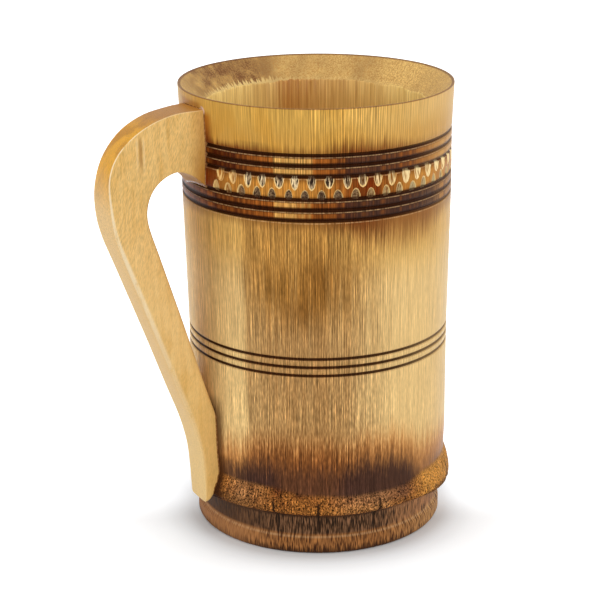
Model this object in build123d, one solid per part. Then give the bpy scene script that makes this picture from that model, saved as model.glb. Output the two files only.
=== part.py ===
from build123d import *
import math
import os

# A bamboo cup: one turned length of culm with a sawn wooden handle, pegged and glued to its wall.
# Millimetres. The cup's axis is Z, its foot stands on z = 0 and the handle reaches along -X.

# Culm, outside
CUP_HEIGHT = 150.0
CULM_RADIUS = 43.2          # from the middle grooves down to the node
BAND_SWELL = 1.0            # the wall is this much wider at the carved band
RIM_FLARE = 0.6             # and this much wider again at the rim
RIDGE_STANDOUT = 2.2        # crest of the node's ridge, beyond the wall
RIDGE_CREST_Z = 15.2
RIDGE_RISE = 8.3            # from the crest up to where the ridge runs out into the wall
RIDGE_LIP = 2.2             # from the crest down to the edge that overhangs the neck
RIDGE_LIP_DEPTH = 1.8       # how far that edge lies in from the crest
RIDGE_FULLNESS = 0.7        # share of its height that the ridge keeps half-way down a flank
NECK_INSET = 2.4            # from the wall in to the neck
NECK_DROP = 3.8             # from the crest down to the top of the neck
FOOT_INSET = 1.5            # from the wall in to the foot
FOOT_HEIGHT = 5.6
FOOT_CHAMFER = 0.8

# Culm, inside
WALL_THICKNESS = 7.5
RIM_LIP = 0.5               # flat left outside the bevel
BEVEL_DEPTH = 8.0           # the bevel runs from the rim down to the cavity
FLOOR_THICKNESS = 8.0       # the node's natural partition
FLOOR_CORNER = 6.0
RECESS_DEPTH = 11.0         # hollow under the floor
FOOT_RING_WIDTH = 5.5
RECESS_CORNER = 4.0

# Turned grooves
GROOVE_WIDTH = 1.0
GROOVE_DEPTH = 0.45
GROOVES_IN_SET = 3
UPPER_GROOVE_DROP = 14.6    # from the rim to the first groove
GROOVE_PITCH = 3.4          # in the two sets that edge the carved band
CARVED_BAND_HEIGHT = 7.3    # between those two sets
MIDDLE_GROOVE_Z = 68.7      # the highest of the middle set
MIDDLE_GROOVE_PITCH = 2.8

# Handle, seen from the side
HANDLE_TOP_DROP = 4.6       # from the rim to the arm's top
HANDLE_STANDOUT = 32.4      # from the carved band to the outermost point of the grip
SHOULDER_RADIUS = 27.0
ARM_DEPTH = 19.0            # from the arm's top to the crown of the finger gap
ARCH_RADIUS = 11.0          # crown of the finger gap
ARCH_SPRING_ANGLE = 33.0    # above the arch's centre, where it meets the wall
GAP_BOTTOM_Z = 46.0         # where the finger gap closes on the wall
TAIL_THICKNESS = 3.6
TAIL_BEND_Z = 31.5          # where the straight leg would meet the upright tail
TAIL_BEND_RADIUS = 60.0
TAIL_TIP_DROP = 2.4         # the tip hangs this far below the ridge's crest
TAIL_HEEL_RISE = 4.3        # the cut at the tip starts this far above the crest

# Handle, seen from its outer edge
ARM_WIDTH = 15.5
TAIL_WIDTH = 11.8
TAIL_SHIFT = 4.6            # the tail sits this far to the -Y side of the arm
EDGE_ROUND = 1.5

# Joints between handle and culm
GLUE_THICKNESS = 0.25
UPPER_DOWEL_RADIUS = 2.25
UPPER_DOWEL_PITCH = 8.0
UPPER_DOWEL_GRIP = 14.0     # length in the arm
LOWER_DOWEL_RADIUS = 1.75
LOWER_DOWEL_DROP = 6.0      # below the bottom of the finger gap
LOWER_DOWEL_GRIP = 3.5      # length in the tail
DOWEL_WALL_LEFT = 2.0       # bamboo left between a dowel's hole and the cavity
DOWEL_CLEARANCE = 0.1       # around a dowel in its hole
DOWEL_END_GAP = 0.5         # past each end of a dowel

# Radii and heights that follow from the sizes above
band_radius = CULM_RADIUS + BAND_SWELL
rim_radius = band_radius + RIM_FLARE
ridge_radius = CULM_RADIUS + RIDGE_STANDOUT
neck_radius = CULM_RADIUS - NECK_INSET
foot_radius = CULM_RADIUS - FOOT_INSET
handle_top_z = CUP_HEIGHT - HANDLE_TOP_DROP
tail_tip_z = RIDGE_CREST_Z - TAIL_TIP_DROP
tail_heel_z = RIDGE_CREST_Z + TAIL_HEEL_RISE
ridge_top_z = RIDGE_CREST_Z + RIDGE_RISE
floor_top_z = RECESS_DEPTH + FLOOR_THICKNESS
upper_grooves = [CUP_HEIGHT - UPPER_GROOVE_DROP - i * GROOVE_PITCH for i in range(GROOVES_IN_SET)]
lower_grooves = [upper_grooves[-1] - CARVED_BAND_HEIGHT - i * GROOVE_PITCH for i in range(GROOVES_IN_SET)]
middle_grooves = [MIDDLE_GROOVE_Z - i * MIDDLE_GROOVE_PITCH for i in range(GROOVES_IN_SET)]
band_top_z = upper_grooves[0]
band_bottom_z = lower_grooves[-1]
taper_start_z = middle_grooves[0]


def wall_radius(z):
    """Outside radius of the culm above the node, at the height z."""
    if z >= band_top_z:
        share = (z - band_top_z) / (CUP_HEIGHT - band_top_z)
        return band_radius + share * (rim_radius - band_radius)
    if z >= band_bottom_z:
        return band_radius
    share = max(0.0, (z - taper_start_z) / (band_bottom_z - taper_start_z))
    return CULM_RADIUS + share * (band_radius - CULM_RADIUS)


def culm_outside(extra):
    """Edges of the culm's outside from the foot up to the rim, moved outwards by extra."""
    def at(radius, z):
        return (radius + extra, z)

    crest = at(ridge_radius, RIDGE_CREST_Z)
    lip = at(ridge_radius - RIDGE_LIP_DEPTH, RIDGE_CREST_Z - RIDGE_LIP)
    lip_turn_radius = ridge_radius - RIDGE_LIP_DEPTH * (1 - RIDGE_FULLNESS)
    lip_turn = at(lip_turn_radius, RIDGE_CREST_Z - RIDGE_LIP * RIDGE_FULLNESS)
    run_out = at(CULM_RADIUS, ridge_top_z)
    flank_radius = CULM_RADIUS + RIDGE_FULLNESS * (ridge_radius - CULM_RADIUS)
    flank = at(flank_radius, RIDGE_CREST_Z + RIDGE_RISE / 2)
    foot = Polyline(
        at(foot_radius - FOOT_CHAMFER, 0),
        at(foot_radius, FOOT_CHAMFER),
        at(foot_radius, FOOT_HEIGHT - FOOT_CHAMFER),
        at(neck_radius, FOOT_HEIGHT),
        at(neck_radius, RIDGE_CREST_Z - NECK_DROP),
        lip,
    )
    ridge = [ThreePointArc(lip, lip_turn, crest), ThreePointArc(crest, flank, run_out)]
    wall = Polyline(
        run_out,
        at(CULM_RADIUS, taper_start_z),
        at(band_radius, band_bottom_z),
        at(band_radius, band_top_z),
        at(rim_radius, CUP_HEIGHT),
    )
    return foot.edges() + ridge + wall.edges()


def culm_envelope(extra):
    """The culm without its hollows and grooves, its outside moved outwards by extra."""
    bottom = (foot_radius - FOOT_CHAMFER + extra, 0)
    top = (rim_radius + extra, CUP_HEIGHT)
    axis = Polyline(top, (0, CUP_HEIGHT), (0, 0), bottom)
    section = make_face(culm_outside(extra) + axis.edges())
    return revolve(Plane.XZ * section, Axis.Z)


def hollow(points, corner, corner_radius):
    """A turned hollow, from a closed outline of radius and height, with one corner rounded."""
    section = make_face(Polyline(*points, close=True).edges())
    rounded = section.vertices().sort_by_distance((*corner, 0))[0]
    return revolve(Plane.XZ * fillet(rounded, corner_radius), Axis.Z)


def cavity():
    """Inside of the cup: floor, tapering wall and the bevel at the rim."""
    top_radius = band_radius - WALL_THICKNESS
    floor_radius = CULM_RADIUS - WALL_THICKNESS
    corner = (floor_radius, floor_top_z)
    outline = [
        (0, floor_top_z),
        corner,
        (top_radius, CUP_HEIGHT - BEVEL_DEPTH),
        (rim_radius - RIM_LIP, CUP_HEIGHT),
        (0, CUP_HEIGHT),
    ]
    return hollow(outline, corner, FLOOR_CORNER)


def foot_recess():
    """Hollow left under the floor where the culm was sawn off below its node."""
    radius = foot_radius - FOOT_CHAMFER - FOOT_RING_WIDTH
    corner = (radius, RECESS_DEPTH)
    outline = [(0, 0), (radius, 0), corner, (0, RECESS_DEPTH)]
    return hollow(outline, corner, RECESS_CORNER)


def turned_grooves():
    """Round-bottomed rings cut into the outside of the wall."""
    cutter_radius = (GROOVE_WIDTH ** 2 / 4 + GROOVE_DEPTH ** 2) / (2 * GROOVE_DEPTH)
    rings = []
    for z in upper_grooves + lower_grooves + middle_grooves:
        centre_radius = wall_radius(z) - GROOVE_DEPTH + cutter_radius
        rings.append(Pos(0, 0, z) * Torus(centre_radius, cutter_radius))
    return rings


def tangent_point(point, centre, radius, side):
    """Where a line from point touches a circle; side is +1 or -1."""
    dx = centre[0] - point[0]
    dz = centre[1] - point[1]
    distance = math.hypot(dx, dz)
    heading = math.atan2(dz, dx) + side * math.asin(radius / distance)
    length = math.sqrt(distance ** 2 - radius ** 2)
    return (point[0] + length * math.cos(heading), point[1] + length * math.sin(heading))


def handle_outline():
    """The handle's side view, with x along the reach; both ends run on into the culm's wall."""
    arm_inside = band_radius - WALL_THICKNESS / 2
    tail_inside = CULM_RADIUS - WALL_THICKNESS / 2
    tail_out = CULM_RADIUS + TAIL_THICKNESS
    shoulder = (band_radius + HANDLE_STANDOUT - SHOULDER_RADIUS, handle_top_z - SHOULDER_RADIUS)
    spring = math.radians(ARCH_SPRING_ANGLE)
    arch = (band_radius + ARCH_RADIUS * math.cos(spring), handle_top_z - ARM_DEPTH - ARCH_RADIUS)
    bend = (tail_out, TAIL_BEND_Z)
    gap_end = (CULM_RADIUS, GAP_BOTTOM_Z)
    leg_out = tangent_point(bend, shoulder, SHOULDER_RADIUS, -1)
    leg_in = tangent_point(gap_end, arch, ARCH_RADIUS, -1)

    # The tail's bend is an arc that touches the straight leg and the upright tail.
    lean = math.atan2(leg_out[0] - bend[0], leg_out[1] - bend[1])
    reach = TAIL_BEND_RADIUS * math.tan(lean / 2)
    bend_start = (bend[0] + reach * math.sin(lean), bend[1] + reach * math.cos(lean))
    bend_end = (tail_out, TAIL_BEND_Z - reach)
    bend_middle = (
        tail_out + TAIL_BEND_RADIUS * (1 - math.cos(lean / 2)),
        bend_end[1] + TAIL_BEND_RADIUS * math.sin(lean / 2),
    )

    turn = math.atan2(leg_out[1] - shoulder[1], leg_out[0] - shoulder[0])
    halfway = (math.pi / 2 + turn) / 2
    shoulder_middle = (
        shoulder[0] + SHOULDER_RADIUS * math.cos(halfway),
        shoulder[1] + SHOULDER_RADIUS * math.sin(halfway),
    )
    arch_crown = (arch[0], arch[1] + ARCH_RADIUS)
    arch_end = (arch[0] - ARCH_RADIUS, arch[1])
    slope = (leg_in[1] - gap_end[1]) / (leg_in[0] - gap_end[0])
    leg_foot = (tail_inside, gap_end[1] - slope * (gap_end[0] - tail_inside))

    top = Line((arm_inside, handle_top_z), (shoulder[0], handle_top_z))
    outer = [
        ThreePointArc((shoulder[0], handle_top_z), shoulder_middle, leg_out),
        Line(leg_out, bend_start),
        ThreePointArc(bend_start, bend_middle, bend_end),
    ]
    tip = Polyline(
        bend_end,
        (tail_out, tail_tip_z),
        (CULM_RADIUS, tail_heel_z),
        (tail_inside, tail_heel_z),
        leg_foot,
        leg_in,
    )
    finger_gap = ThreePointArc(leg_in, arch_crown, arch_end)
    end = Polyline(arch_end, (arm_inside, arch_end[1]), (arm_inside, handle_top_z))
    return make_face([top] + outer + tip.edges() + [finger_gap] + end.edges())


def handle_middle_y(z):
    """Middle of the handle's thickness at the height z."""
    return -TAIL_SHIFT * (handle_top_z - z) / (handle_top_z - tail_tip_z)


def handle_blank():
    """The handle before its ends are hollowed to the wall, with its sawn edges eased."""
    reach = band_radius + HANDLE_STANDOUT
    side = mirror(extrude(Plane.XZ * handle_outline(), ARM_WIDTH + TAIL_SHIFT, both=True), Plane.YZ)
    edge_view = make_face(Polyline(
        (-ARM_WIDTH / 2, handle_top_z),
        (ARM_WIDTH / 2, handle_top_z),
        (handle_middle_y(tail_tip_z) + TAIL_WIDTH / 2, tail_tip_z),
        (handle_middle_y(tail_tip_z) - TAIL_WIDTH / 2, tail_tip_z),
        close=True,
    ).edges())
    blank = side & extrude(Plane.YZ * edge_view, -(reach + HANDLE_STANDOUT))
    sawn_faces = blank.faces().sort_by(Axis.Y)
    # The two longest edges of a sawn face are the leg's; the easing runs on round the curves from them.
    leg_edges = [sawn_faces[i].edges().sort_by(SortBy.LENGTH)[-2:] for i in (0, -1)]
    return fillet(leg_edges[0] + leg_edges[1], EDGE_ROUND)


def peg(z, radius, grip, room_around=0.0, room_at_ends=0.0):
    """A peg along X through the joint at the height z, or its hole when room is given."""
    seat = WALL_THICKNESS - DOWEL_WALL_LEFT - DOWEL_END_GAP + room_at_ends
    length = seat + GLUE_THICKNESS + grip + room_at_ends
    rod = Cylinder(radius + room_around, length, align=(Align.CENTER, Align.CENTER, Align.MIN))
    start = wall_radius(z) - seat
    return Pos(-start, handle_middle_y(z), z) * Rot(0, -90, 0) * rod


arm_middle_z = handle_top_z - ARM_DEPTH / 2
upper_grip = (UPPER_DOWEL_RADIUS, UPPER_DOWEL_GRIP)
lower_grip = (LOWER_DOWEL_RADIUS, LOWER_DOWEL_GRIP)
dowels = {
    "upper_dowel_high": (arm_middle_z + UPPER_DOWEL_PITCH / 2, *upper_grip),
    "upper_dowel_low": (arm_middle_z - UPPER_DOWEL_PITCH / 2, *upper_grip),
    "lower_dowel": (GAP_BOTTOM_Z - LOWER_DOWEL_DROP, *lower_grip),
}
holes = [peg(*place, DOWEL_CLEARANCE, DOWEL_END_GAP) for place in dowels.values()]

wall_face = culm_envelope(0)
glue_face = culm_envelope(GLUE_THICKNESS)
blank = handle_blank()
glue = (blank & glue_face) - wall_face - holes
lower_glue, upper_glue = glue.solids().sort_by(Axis.Z)

parts = {
    "culm_body": wall_face - cavity() - foot_recess() - turned_grooves() - holes,
    "handle": blank - glue_face - holes,
    "upper_glue_bed": upper_glue,
    "lower_glue_bed": lower_glue,
}
for name, place in dowels.items():
    parts[name] = peg(*place)

os.makedirs("parts", exist_ok=True)
for name, shape in parts.items():
    export_step(shape, f"parts/{name}.step")
    print(name, len(shape.solids()), "solid,", round(shape.volume, 1), "cubic mm")
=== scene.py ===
# %% [markdown]
# # A bamboo cup
# The cup is one length of bamboo culm, turned on a lathe, with a sawn wooden handle glued to its wall.
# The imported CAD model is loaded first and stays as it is. It gives the size and place of every piece,
# and the cells below dress it: they make the shapes that a hand tool leaves and the look of each surface.

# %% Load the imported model
import math

import bmesh
import bpy
import numpy as np
from mathutils import Matrix, Vector, noise


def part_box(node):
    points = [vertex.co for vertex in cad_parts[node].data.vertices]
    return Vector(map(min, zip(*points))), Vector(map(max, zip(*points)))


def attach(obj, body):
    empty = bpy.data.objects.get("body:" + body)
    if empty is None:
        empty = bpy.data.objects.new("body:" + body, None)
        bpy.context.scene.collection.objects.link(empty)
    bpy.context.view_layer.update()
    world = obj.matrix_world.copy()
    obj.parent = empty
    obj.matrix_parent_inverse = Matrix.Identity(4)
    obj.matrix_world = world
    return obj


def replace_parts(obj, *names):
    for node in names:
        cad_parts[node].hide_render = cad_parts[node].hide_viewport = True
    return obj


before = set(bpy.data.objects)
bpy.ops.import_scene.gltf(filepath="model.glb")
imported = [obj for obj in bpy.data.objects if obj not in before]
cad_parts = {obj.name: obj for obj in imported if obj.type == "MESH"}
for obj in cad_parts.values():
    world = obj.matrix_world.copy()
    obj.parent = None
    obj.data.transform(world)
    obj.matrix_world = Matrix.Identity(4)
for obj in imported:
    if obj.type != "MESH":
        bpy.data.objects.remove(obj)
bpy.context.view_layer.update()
scene = bpy.context.scene
scene.view_settings.view_transform = "Standard"
MM = 0.001
print("nodes:", sorted(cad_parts))

# %% [markdown]
# ## Camera
# The photograph was taken with a long lens from a little above the rim, with the handle on the left.
# A camera can be aimed with a constraint, but three plain turns are easier to read: tilt it down from the
# horizon, swing it round the cup, and add the small roll of a hand-held shot.

# %% Camera
LENS = 112.07
CAMERA_PLACE = Vector((-268.25, -536.35, 272.38)) * MM
SWING = math.radians(26.0)
TILT = math.radians(18.272)
ROLL = math.radians(-0.355)

camera = bpy.data.objects.new("camera", bpy.data.cameras.new("camera"))
camera.data.lens = LENS
camera.matrix_world = (
    Matrix.Translation(CAMERA_PLACE)
    @ Matrix.Rotation(-SWING, 4, "Z")
    @ Matrix.Rotation(math.pi / 2 - TILT, 4, "X")
    @ Matrix.Rotation(ROLL, 4, "Z")
)
scene.collection.objects.link(camera)
scene.camera = camera
print("camera", round(CAMERA_PLACE.length / MM), "mm from the foot of the cup")

# %% [markdown]
# ## Short ways to write nodes
# A material with many nodes is hard to follow as a list of links. Here each output of a node is a Signal,
# and arithmetic on a Signal adds the Math node, so a pattern can be written as a formula. A Finish is one
# material: it knows the point's place in millimetres and its turn round the cup in degrees, which is 0 at
# the handle, 90 at the front and 180 opposite the handle. Its colours are laid on in coats, and each coat
# is a share, which says where it covers, and a tone.

# %% Node helpers
def plug(tree, value, socket):
    """Links a value that comes from a node, or sets a plain one."""
    if isinstance(value, Signal):
        value = value.socket
    if isinstance(value, bpy.types.NodeSocket):
        tree.links.new(value, socket)
    elif socket.type == "RGBA" and len(value) == 3:
        socket.default_value = (*value, 1.0)
    else:
        socket.default_value = value


def add_node(tree, kind, inputs=None, **settings):
    """Adds a node, sets its options and fills its inputs."""
    node = tree.nodes.new(kind)
    for name, value in settings.items():
        setattr(node, name, value)
    for key, value in (inputs or {}).items():
        plug(tree, value, node.inputs[key])
    return node


def signal(tree, kind, inputs=None, out=0, **settings):
    """Adds a node and gives one of its outputs."""
    return Signal(tree, add_node(tree, kind, inputs, **settings).outputs[out])


class Signal:
    """One output of a node."""

    def __init__(self, tree, socket):
        self.tree = tree
        self.socket = socket

    def calc(self, operation, other=0.0):
        """This signal and another one through a Math node."""
        return signal(self.tree, "ShaderNodeMath", {0: self, 1: other}, operation=operation)

    def __add__(self, other):
        return self.calc("ADD", other)

    def __sub__(self, other):
        return self.calc("SUBTRACT", other)

    def __mul__(self, other):
        return self.calc("MULTIPLY", other)

    def __truediv__(self, other):
        return self.calc("DIVIDE", other)

    def __neg__(self):
        return self * -1.0

    def inverse(self):
        """One where this is zero, and zero where this is one."""
        return -self + 1.0

    def sway(self, amount):
        """Turns noise, which lies about one half, into a swing about zero."""
        return (self - 0.5) * amount

    def rise(self, low, high):
        """Goes smoothly from zero at low to one at high, or the other way round where low is above high."""
        ends = {0: self, 1: low, 2: high}
        return signal(self.tree, "ShaderNodeMapRange", ends, interpolation_type="SMOOTHSTEP")

    def band(self, low, high, soft):
        """One between low and high, with soft ends."""
        return self.rise(low - soft, low + soft) * self.rise(high + soft, high - soft)


print("node helpers ready")

# %% Finishes
CRACK_EDGE = (0.8, 0.25)


class Finish:
    """A material, with the coordinates that its patterns are drawn in."""

    def __init__(self, name):
        self.material = bpy.data.materials.new(name)
        self.material.use_nodes = True
        self.tree = self.material.node_tree
        self.tree.nodes.clear()
        here = self.make("ShaderNodeTexCoord", out="Object")
        self.place = self.make("ShaderNodeVectorMath", {0: here, "Scale": 1 / MM}, operation="SCALE")
        apart = add_node(self.tree, "ShaderNodeSeparateXYZ", {0: self.place})
        self.x, self.y, self.z = (Signal(self.tree, out) for out in apart.outputs)
        self.radius = (self.x * self.x + self.y * self.y).calc("SQRT")
        self.turn = (-self.y).calc("ARCTAN2", -self.x) * math.degrees(1.0)

    def make(self, kind, inputs=None, out=0, **settings):
        """An output of a new node of this material."""
        return signal(self.tree, kind, inputs, out, **settings)

    def follow(self, source, *stops):
        """A share that follows a signal through stops of (value, share), in straight runs."""
        low, high = stops[0][0], stops[-1][0]
        along = self.make("ShaderNodeMapRange", {0: source, 1: low, 2: high})
        ramp = add_node(self.tree, "ShaderNodeValToRGB", {0: along})
        marks = ramp.color_ramp.elements
        marks[0].color = (*(stops[0][1],) * 3, 1.0)
        marks[1].color = (*(stops[-1][1],) * 3, 1.0)
        for value, share in stops[1:-1]:
            marks.new((value - low) / (high - low)).color = (*(share,) * 3, 1.0)
        return Signal(self.tree, ramp.outputs[0])

    def around(self, back, *stops):
        """A share that follows the turn round the cup, from the back and round to it again."""
        return self.follow(self.turn, (-180, back), *stops, (180, back))

    def rings(self, centre, pitch, half_width, soft=0.1):
        """One on three even lines round the cup, a pitch apart about a height."""
        off = (self.z - centre).calc("PINGPONG", pitch / 2)
        within = (self.z - centre).calc("ABSOLUTE").rise(pitch * 1.5, pitch * 1.5 - 0.1)
        return off.rise(half_width + soft, half_width - soft) * within

    def slits(self, places, low, high):
        """One in thin upright cracks at some turns, between two heights."""
        total = None
        for place in places:
            one = (self.turn - place).calc("ABSOLUTE").rise(*CRACK_EDGE)
            total = one if total is None else total + one
        return total * self.z.band(low, high, 0.8)

    def noise(self, stretch, detail=2.0, rough=0.5, warp=0.0, shift=0.0, tilt=0.0):
        """Noise from zero to one; stretch gives how many lumps go on a millimetre along each axis."""
        tilted = {"Vector": self.place, "Angle": math.radians(tilt)}
        turned = self.make("ShaderNodeVectorRotate", tilted, rotation_type="Y_AXIS")
        scaled = {0: turned, 1: stretch, 2: (shift, shift, shift)}
        place = self.make("ShaderNodeVectorMath", scaled, operation="MULTIPLY_ADD")
        return self.make("ShaderNodeTexNoise", {
            "Vector": place, "Scale": 1.0, "Detail": detail, "Roughness": rough, "Distortion": warp})

    def fan(self, per_degree, per_mm, detail=1.0, rough=0.5, shift=0.0):
        """Noise drawn over the turn and the height, for straight fibres."""
        over = {0: self.turn * per_degree, 1: self.z * per_mm, 2: shift}
        place = self.make("ShaderNodeCombineXYZ", over)
        inputs = {"Vector": place, "Scale": 1.0, "Detail": detail, "Roughness": rough}
        return self.make("ShaderNodeTexNoise", inputs)

    def cells(self, stretch):
        """Distance to the nearest of many scattered points, in cells."""
        place = self.make("ShaderNodeVectorMath", {0: self.place, 1: stretch}, operation="MULTIPLY")
        return self.make("ShaderNodeTexVoronoi", {"Vector": place, "Scale": 1.0})

    def mix(self, share, under, over, blend="MIX"):
        """Lays one colour over another by a share from zero to one."""
        inputs = {0: share, 6: under, 7: over}
        return self.make("ShaderNodeMix", inputs, out=2, data_type="RGBA", blend_type=blend)

    def coats(self, colour, *coats):
        """Lays colours over a first one in turn, each by its share, and some in their own blend mode."""
        for share, over, *blend in coats:
            colour = self.mix(share, colour, over, *blend)
        return colour

    def shade(self, colour, factor):
        """Makes a colour darker or lighter by a signal."""
        return self.make("ShaderNodeVectorMath", {0: colour, "Scale": factor}, operation="SCALE")

    def surface(self, colour, roughness, relief, **constants):
        """Ends the material in one shader; relief is a height in millimetres."""
        bump = self.make("ShaderNodeBump", {"Height": relief, "Distance": MM, "Strength": 1.0})
        inputs = {"Base Color": colour, "Roughness": roughness, "Normal": bump}
        inputs.update({name.replace("_", " "): value for name, value in constants.items()})
        shader = self.make("ShaderNodeBsdfPrincipled", inputs)
        add_node(self.tree, "ShaderNodeOutputMaterial", {"Surface": shader})
        print(self.material.name, "has", len(self.tree.nodes), "nodes")


print("finishes ready to be written")

# %% [markdown]
# ## Studio
# The background is white and the light is soft and nearly even: a pale room, a wide softbox in front of
# the cup, a tall one on each side, which brighten the lacquered wall towards both its edges, and one above
# that reaches into the cup.
# The floor is an ordinary white surface, so it keeps the cup's shadow. To the camera, and in reflections,
# it also glows a little, more so behind the cup and farther from it, which hides where the floor ends.
# This glow is painted light: it is weakest at the front of the foot, where the shadow stays, and it washes
# the shadow out behind the cup and farther off.

# %% Studio
ROOM_LIGHT = 0.50
FLOOR_WHITE = 0.80
FLOOR_TINT = (0.92, 0.96, 1.0)


def seen_directly(tree):
    """One for rays that the eye follows: straight, mirrored or through glass."""
    path = add_node(tree, "ShaderNodeLightPath")
    rays = [Signal(tree, path.outputs[f"Is {kind} Ray"]) for kind in ("Camera", "Glossy", "Transmission")]
    return rays[0].calc("MAXIMUM", rays[1]).calc("MAXIMUM", rays[2])


world = bpy.data.worlds.new("room")
world.use_nodes = True
scene.world = world
room = world.node_tree
room.nodes.clear()
glow = seen_directly(room) * (1.0 - ROOM_LIGHT) + ROOM_LIGHT
backdrop = signal(room, "ShaderNodeBackground", {"Color": (1, 1, 1), "Strength": glow})
add_node(room, "ShaderNodeOutputWorld", {"Surface": backdrop})

w = Finish("floor_white")
# Painted light: a glow that grows away from the cup and behind it, and thins the cup's shadow there.
away_from_cup = w.follow(
    w.radius, (44, 0.0), (49, 0.18), (55, 0.32), (70, 0.46), (110, 0.54), (420, 0.70))
behind_cup = (w.x * math.sin(SWING) + w.y * math.cos(SWING)).rise(-16, 8)
floor_glow = (away_from_cup + behind_cup * 0.36) * seen_directly(w.tree)
matt = w.make("ShaderNodeBsdfDiffuse", {"Color": (FLOOR_WHITE,) * 3})
lit = w.make("ShaderNodeEmission", {"Color": FLOOR_TINT, "Strength": floor_glow})
both = w.make("ShaderNodeAddShader", {0: matt, 1: lit})
add_node(w.tree, "ShaderNodeOutputMaterial", {"Surface": both})
print("room of", len(room.nodes), "nodes, floor of", len(w.tree.nodes), "nodes")

# %% Floor and softboxes
FLOOR_HALF = 6.0
AIM_HEIGHT = 0.075

floor_mesh = bpy.data.meshes.new("floor")
corners = [(sx * FLOOR_HALF, sy * FLOOR_HALF, 0) for sx, sy in ((-1, -1), (1, -1), (1, 1), (-1, 1))]
floor_mesh.from_pydata(corners, [], [(0, 1, 2, 3)])
floor_mesh.materials.append(w.material)
floor = bpy.data.objects.new("floor", floor_mesh)
scene.collection.objects.link(floor)


def softbox(name, heading, distance, height, size, power):
    """A soft lamp; heading is measured round the cup like the angles in Finish, 0 at the handle."""
    lamp = bpy.data.objects.new(name, bpy.data.lights.new(name, "AREA"))
    lamp.data.shape = "RECTANGLE"
    lamp.data.size, lamp.data.size_y = size
    lamp.data.energy = power
    turn = math.radians(heading)
    lamp.location = (-distance * math.cos(turn), -distance * math.sin(turn), height)
    aim = Vector((0, 0, AIM_HEIGHT)) - lamp.location
    lamp.rotation_euler = aim.to_track_quat("-Z", "Y").to_euler()
    scene.collection.objects.link(lamp)


softbox("front_softbox", heading=82, distance=1.1, height=0.55, size=(1.0, 0.8), power=5.4)
softbox("left_softbox", heading=-16, distance=0.9, height=0.35, size=(0.45, 0.9), power=2.2)
softbox("right_softbox", heading=163, distance=0.9, height=0.35, size=(0.55, 0.9), power=1.7)
softbox("top_softbox", heading=64, distance=0.2, height=1.2, size=(0.8, 0.8), power=3.0)

# %% [markdown]
# ## The culm's section
# A turned piece is one outline swung round an axis, so the outline is all that has to be drawn: under the
# floor, down the foot ring, up the outside with its grooves, over the rim and down the inside to the floor.
# Each stretch of it is named, because the lathe, the saw and the flame leave a different finish on each.

# %% Section of the culm
CUP_HEIGHT = 150.0
CULM_RADIUS = 43.2
BAND_RADIUS = 44.2
RIM_RADIUS = 44.8
GROOVE_WIDTH = 1.1
GROOVE_DEPTH = 0.55
UPPER_GROOVES = (135.4, 132.0, 128.6)
LOWER_GROOVES = (121.3, 117.9, 114.5)
MIDDLE_GROOVES = (68.7, 65.9, 63.1)
ALL_GROOVES = UPPER_GROOVES + LOWER_GROOVES + MIDDLE_GROOVES
BAND_TOP, FIELD_TOP = UPPER_GROOVES[0], UPPER_GROOVES[-1]
FIELD_BOTTOM, BAND_BOTTOM = LOWER_GROOVES[0], LOWER_GROOVES[-1]
WALL_FOOT = 24.5
WALL_TOP = 149.0
WALL_STEP = 2.4
BESIDE_GROOVE = 0.8
CLEAR_OF_GROOVE = 1.2


def smooth_line(points, count):
    """A smooth line through points, as count points a step apart in their order."""
    p = np.array(points, float)
    padded = np.vstack((2 * p[0] - p[1], p, 2 * p[-1] - p[-2]))
    at = np.linspace(0, len(p) - 1 - 1e-9, count)
    i = at.astype(int)
    t = (at - i)[:, None]
    a, b, c, d = (padded[i + k] for k in range(4))
    return 0.5 * (2 * b + (c - a) * t + (2 * a - 5 * b + 4 * c - d) * t**2 + (3 * b - a - 3 * c + d) * t**3)


def wall_radius(z):
    """Outside of the wall above the node, before the grooves."""
    heights = (MIDDLE_GROOVES[0], BAND_BOTTOM, BAND_TOP, CUP_HEIGHT)
    return np.interp(z, heights, (CULM_RADIUS, BAND_RADIUS, BAND_RADIUS, RIM_RADIUS))


def groove_cut(z):
    """Depth of the round-bottomed grooves at a height."""
    tool = (GROOVE_WIDTH**2 / 4 + GROOVE_DEPTH**2) / (2 * GROOVE_DEPTH)
    off = np.min(np.abs(np.subtract.outer(z, ALL_GROOVES)), axis=1)
    inside = np.sqrt(np.maximum(tool**2 - off**2, 0))
    return np.maximum(GROOVE_DEPTH - tool + inside, 0) * (off < GROOVE_WIDTH / 2)


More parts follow.
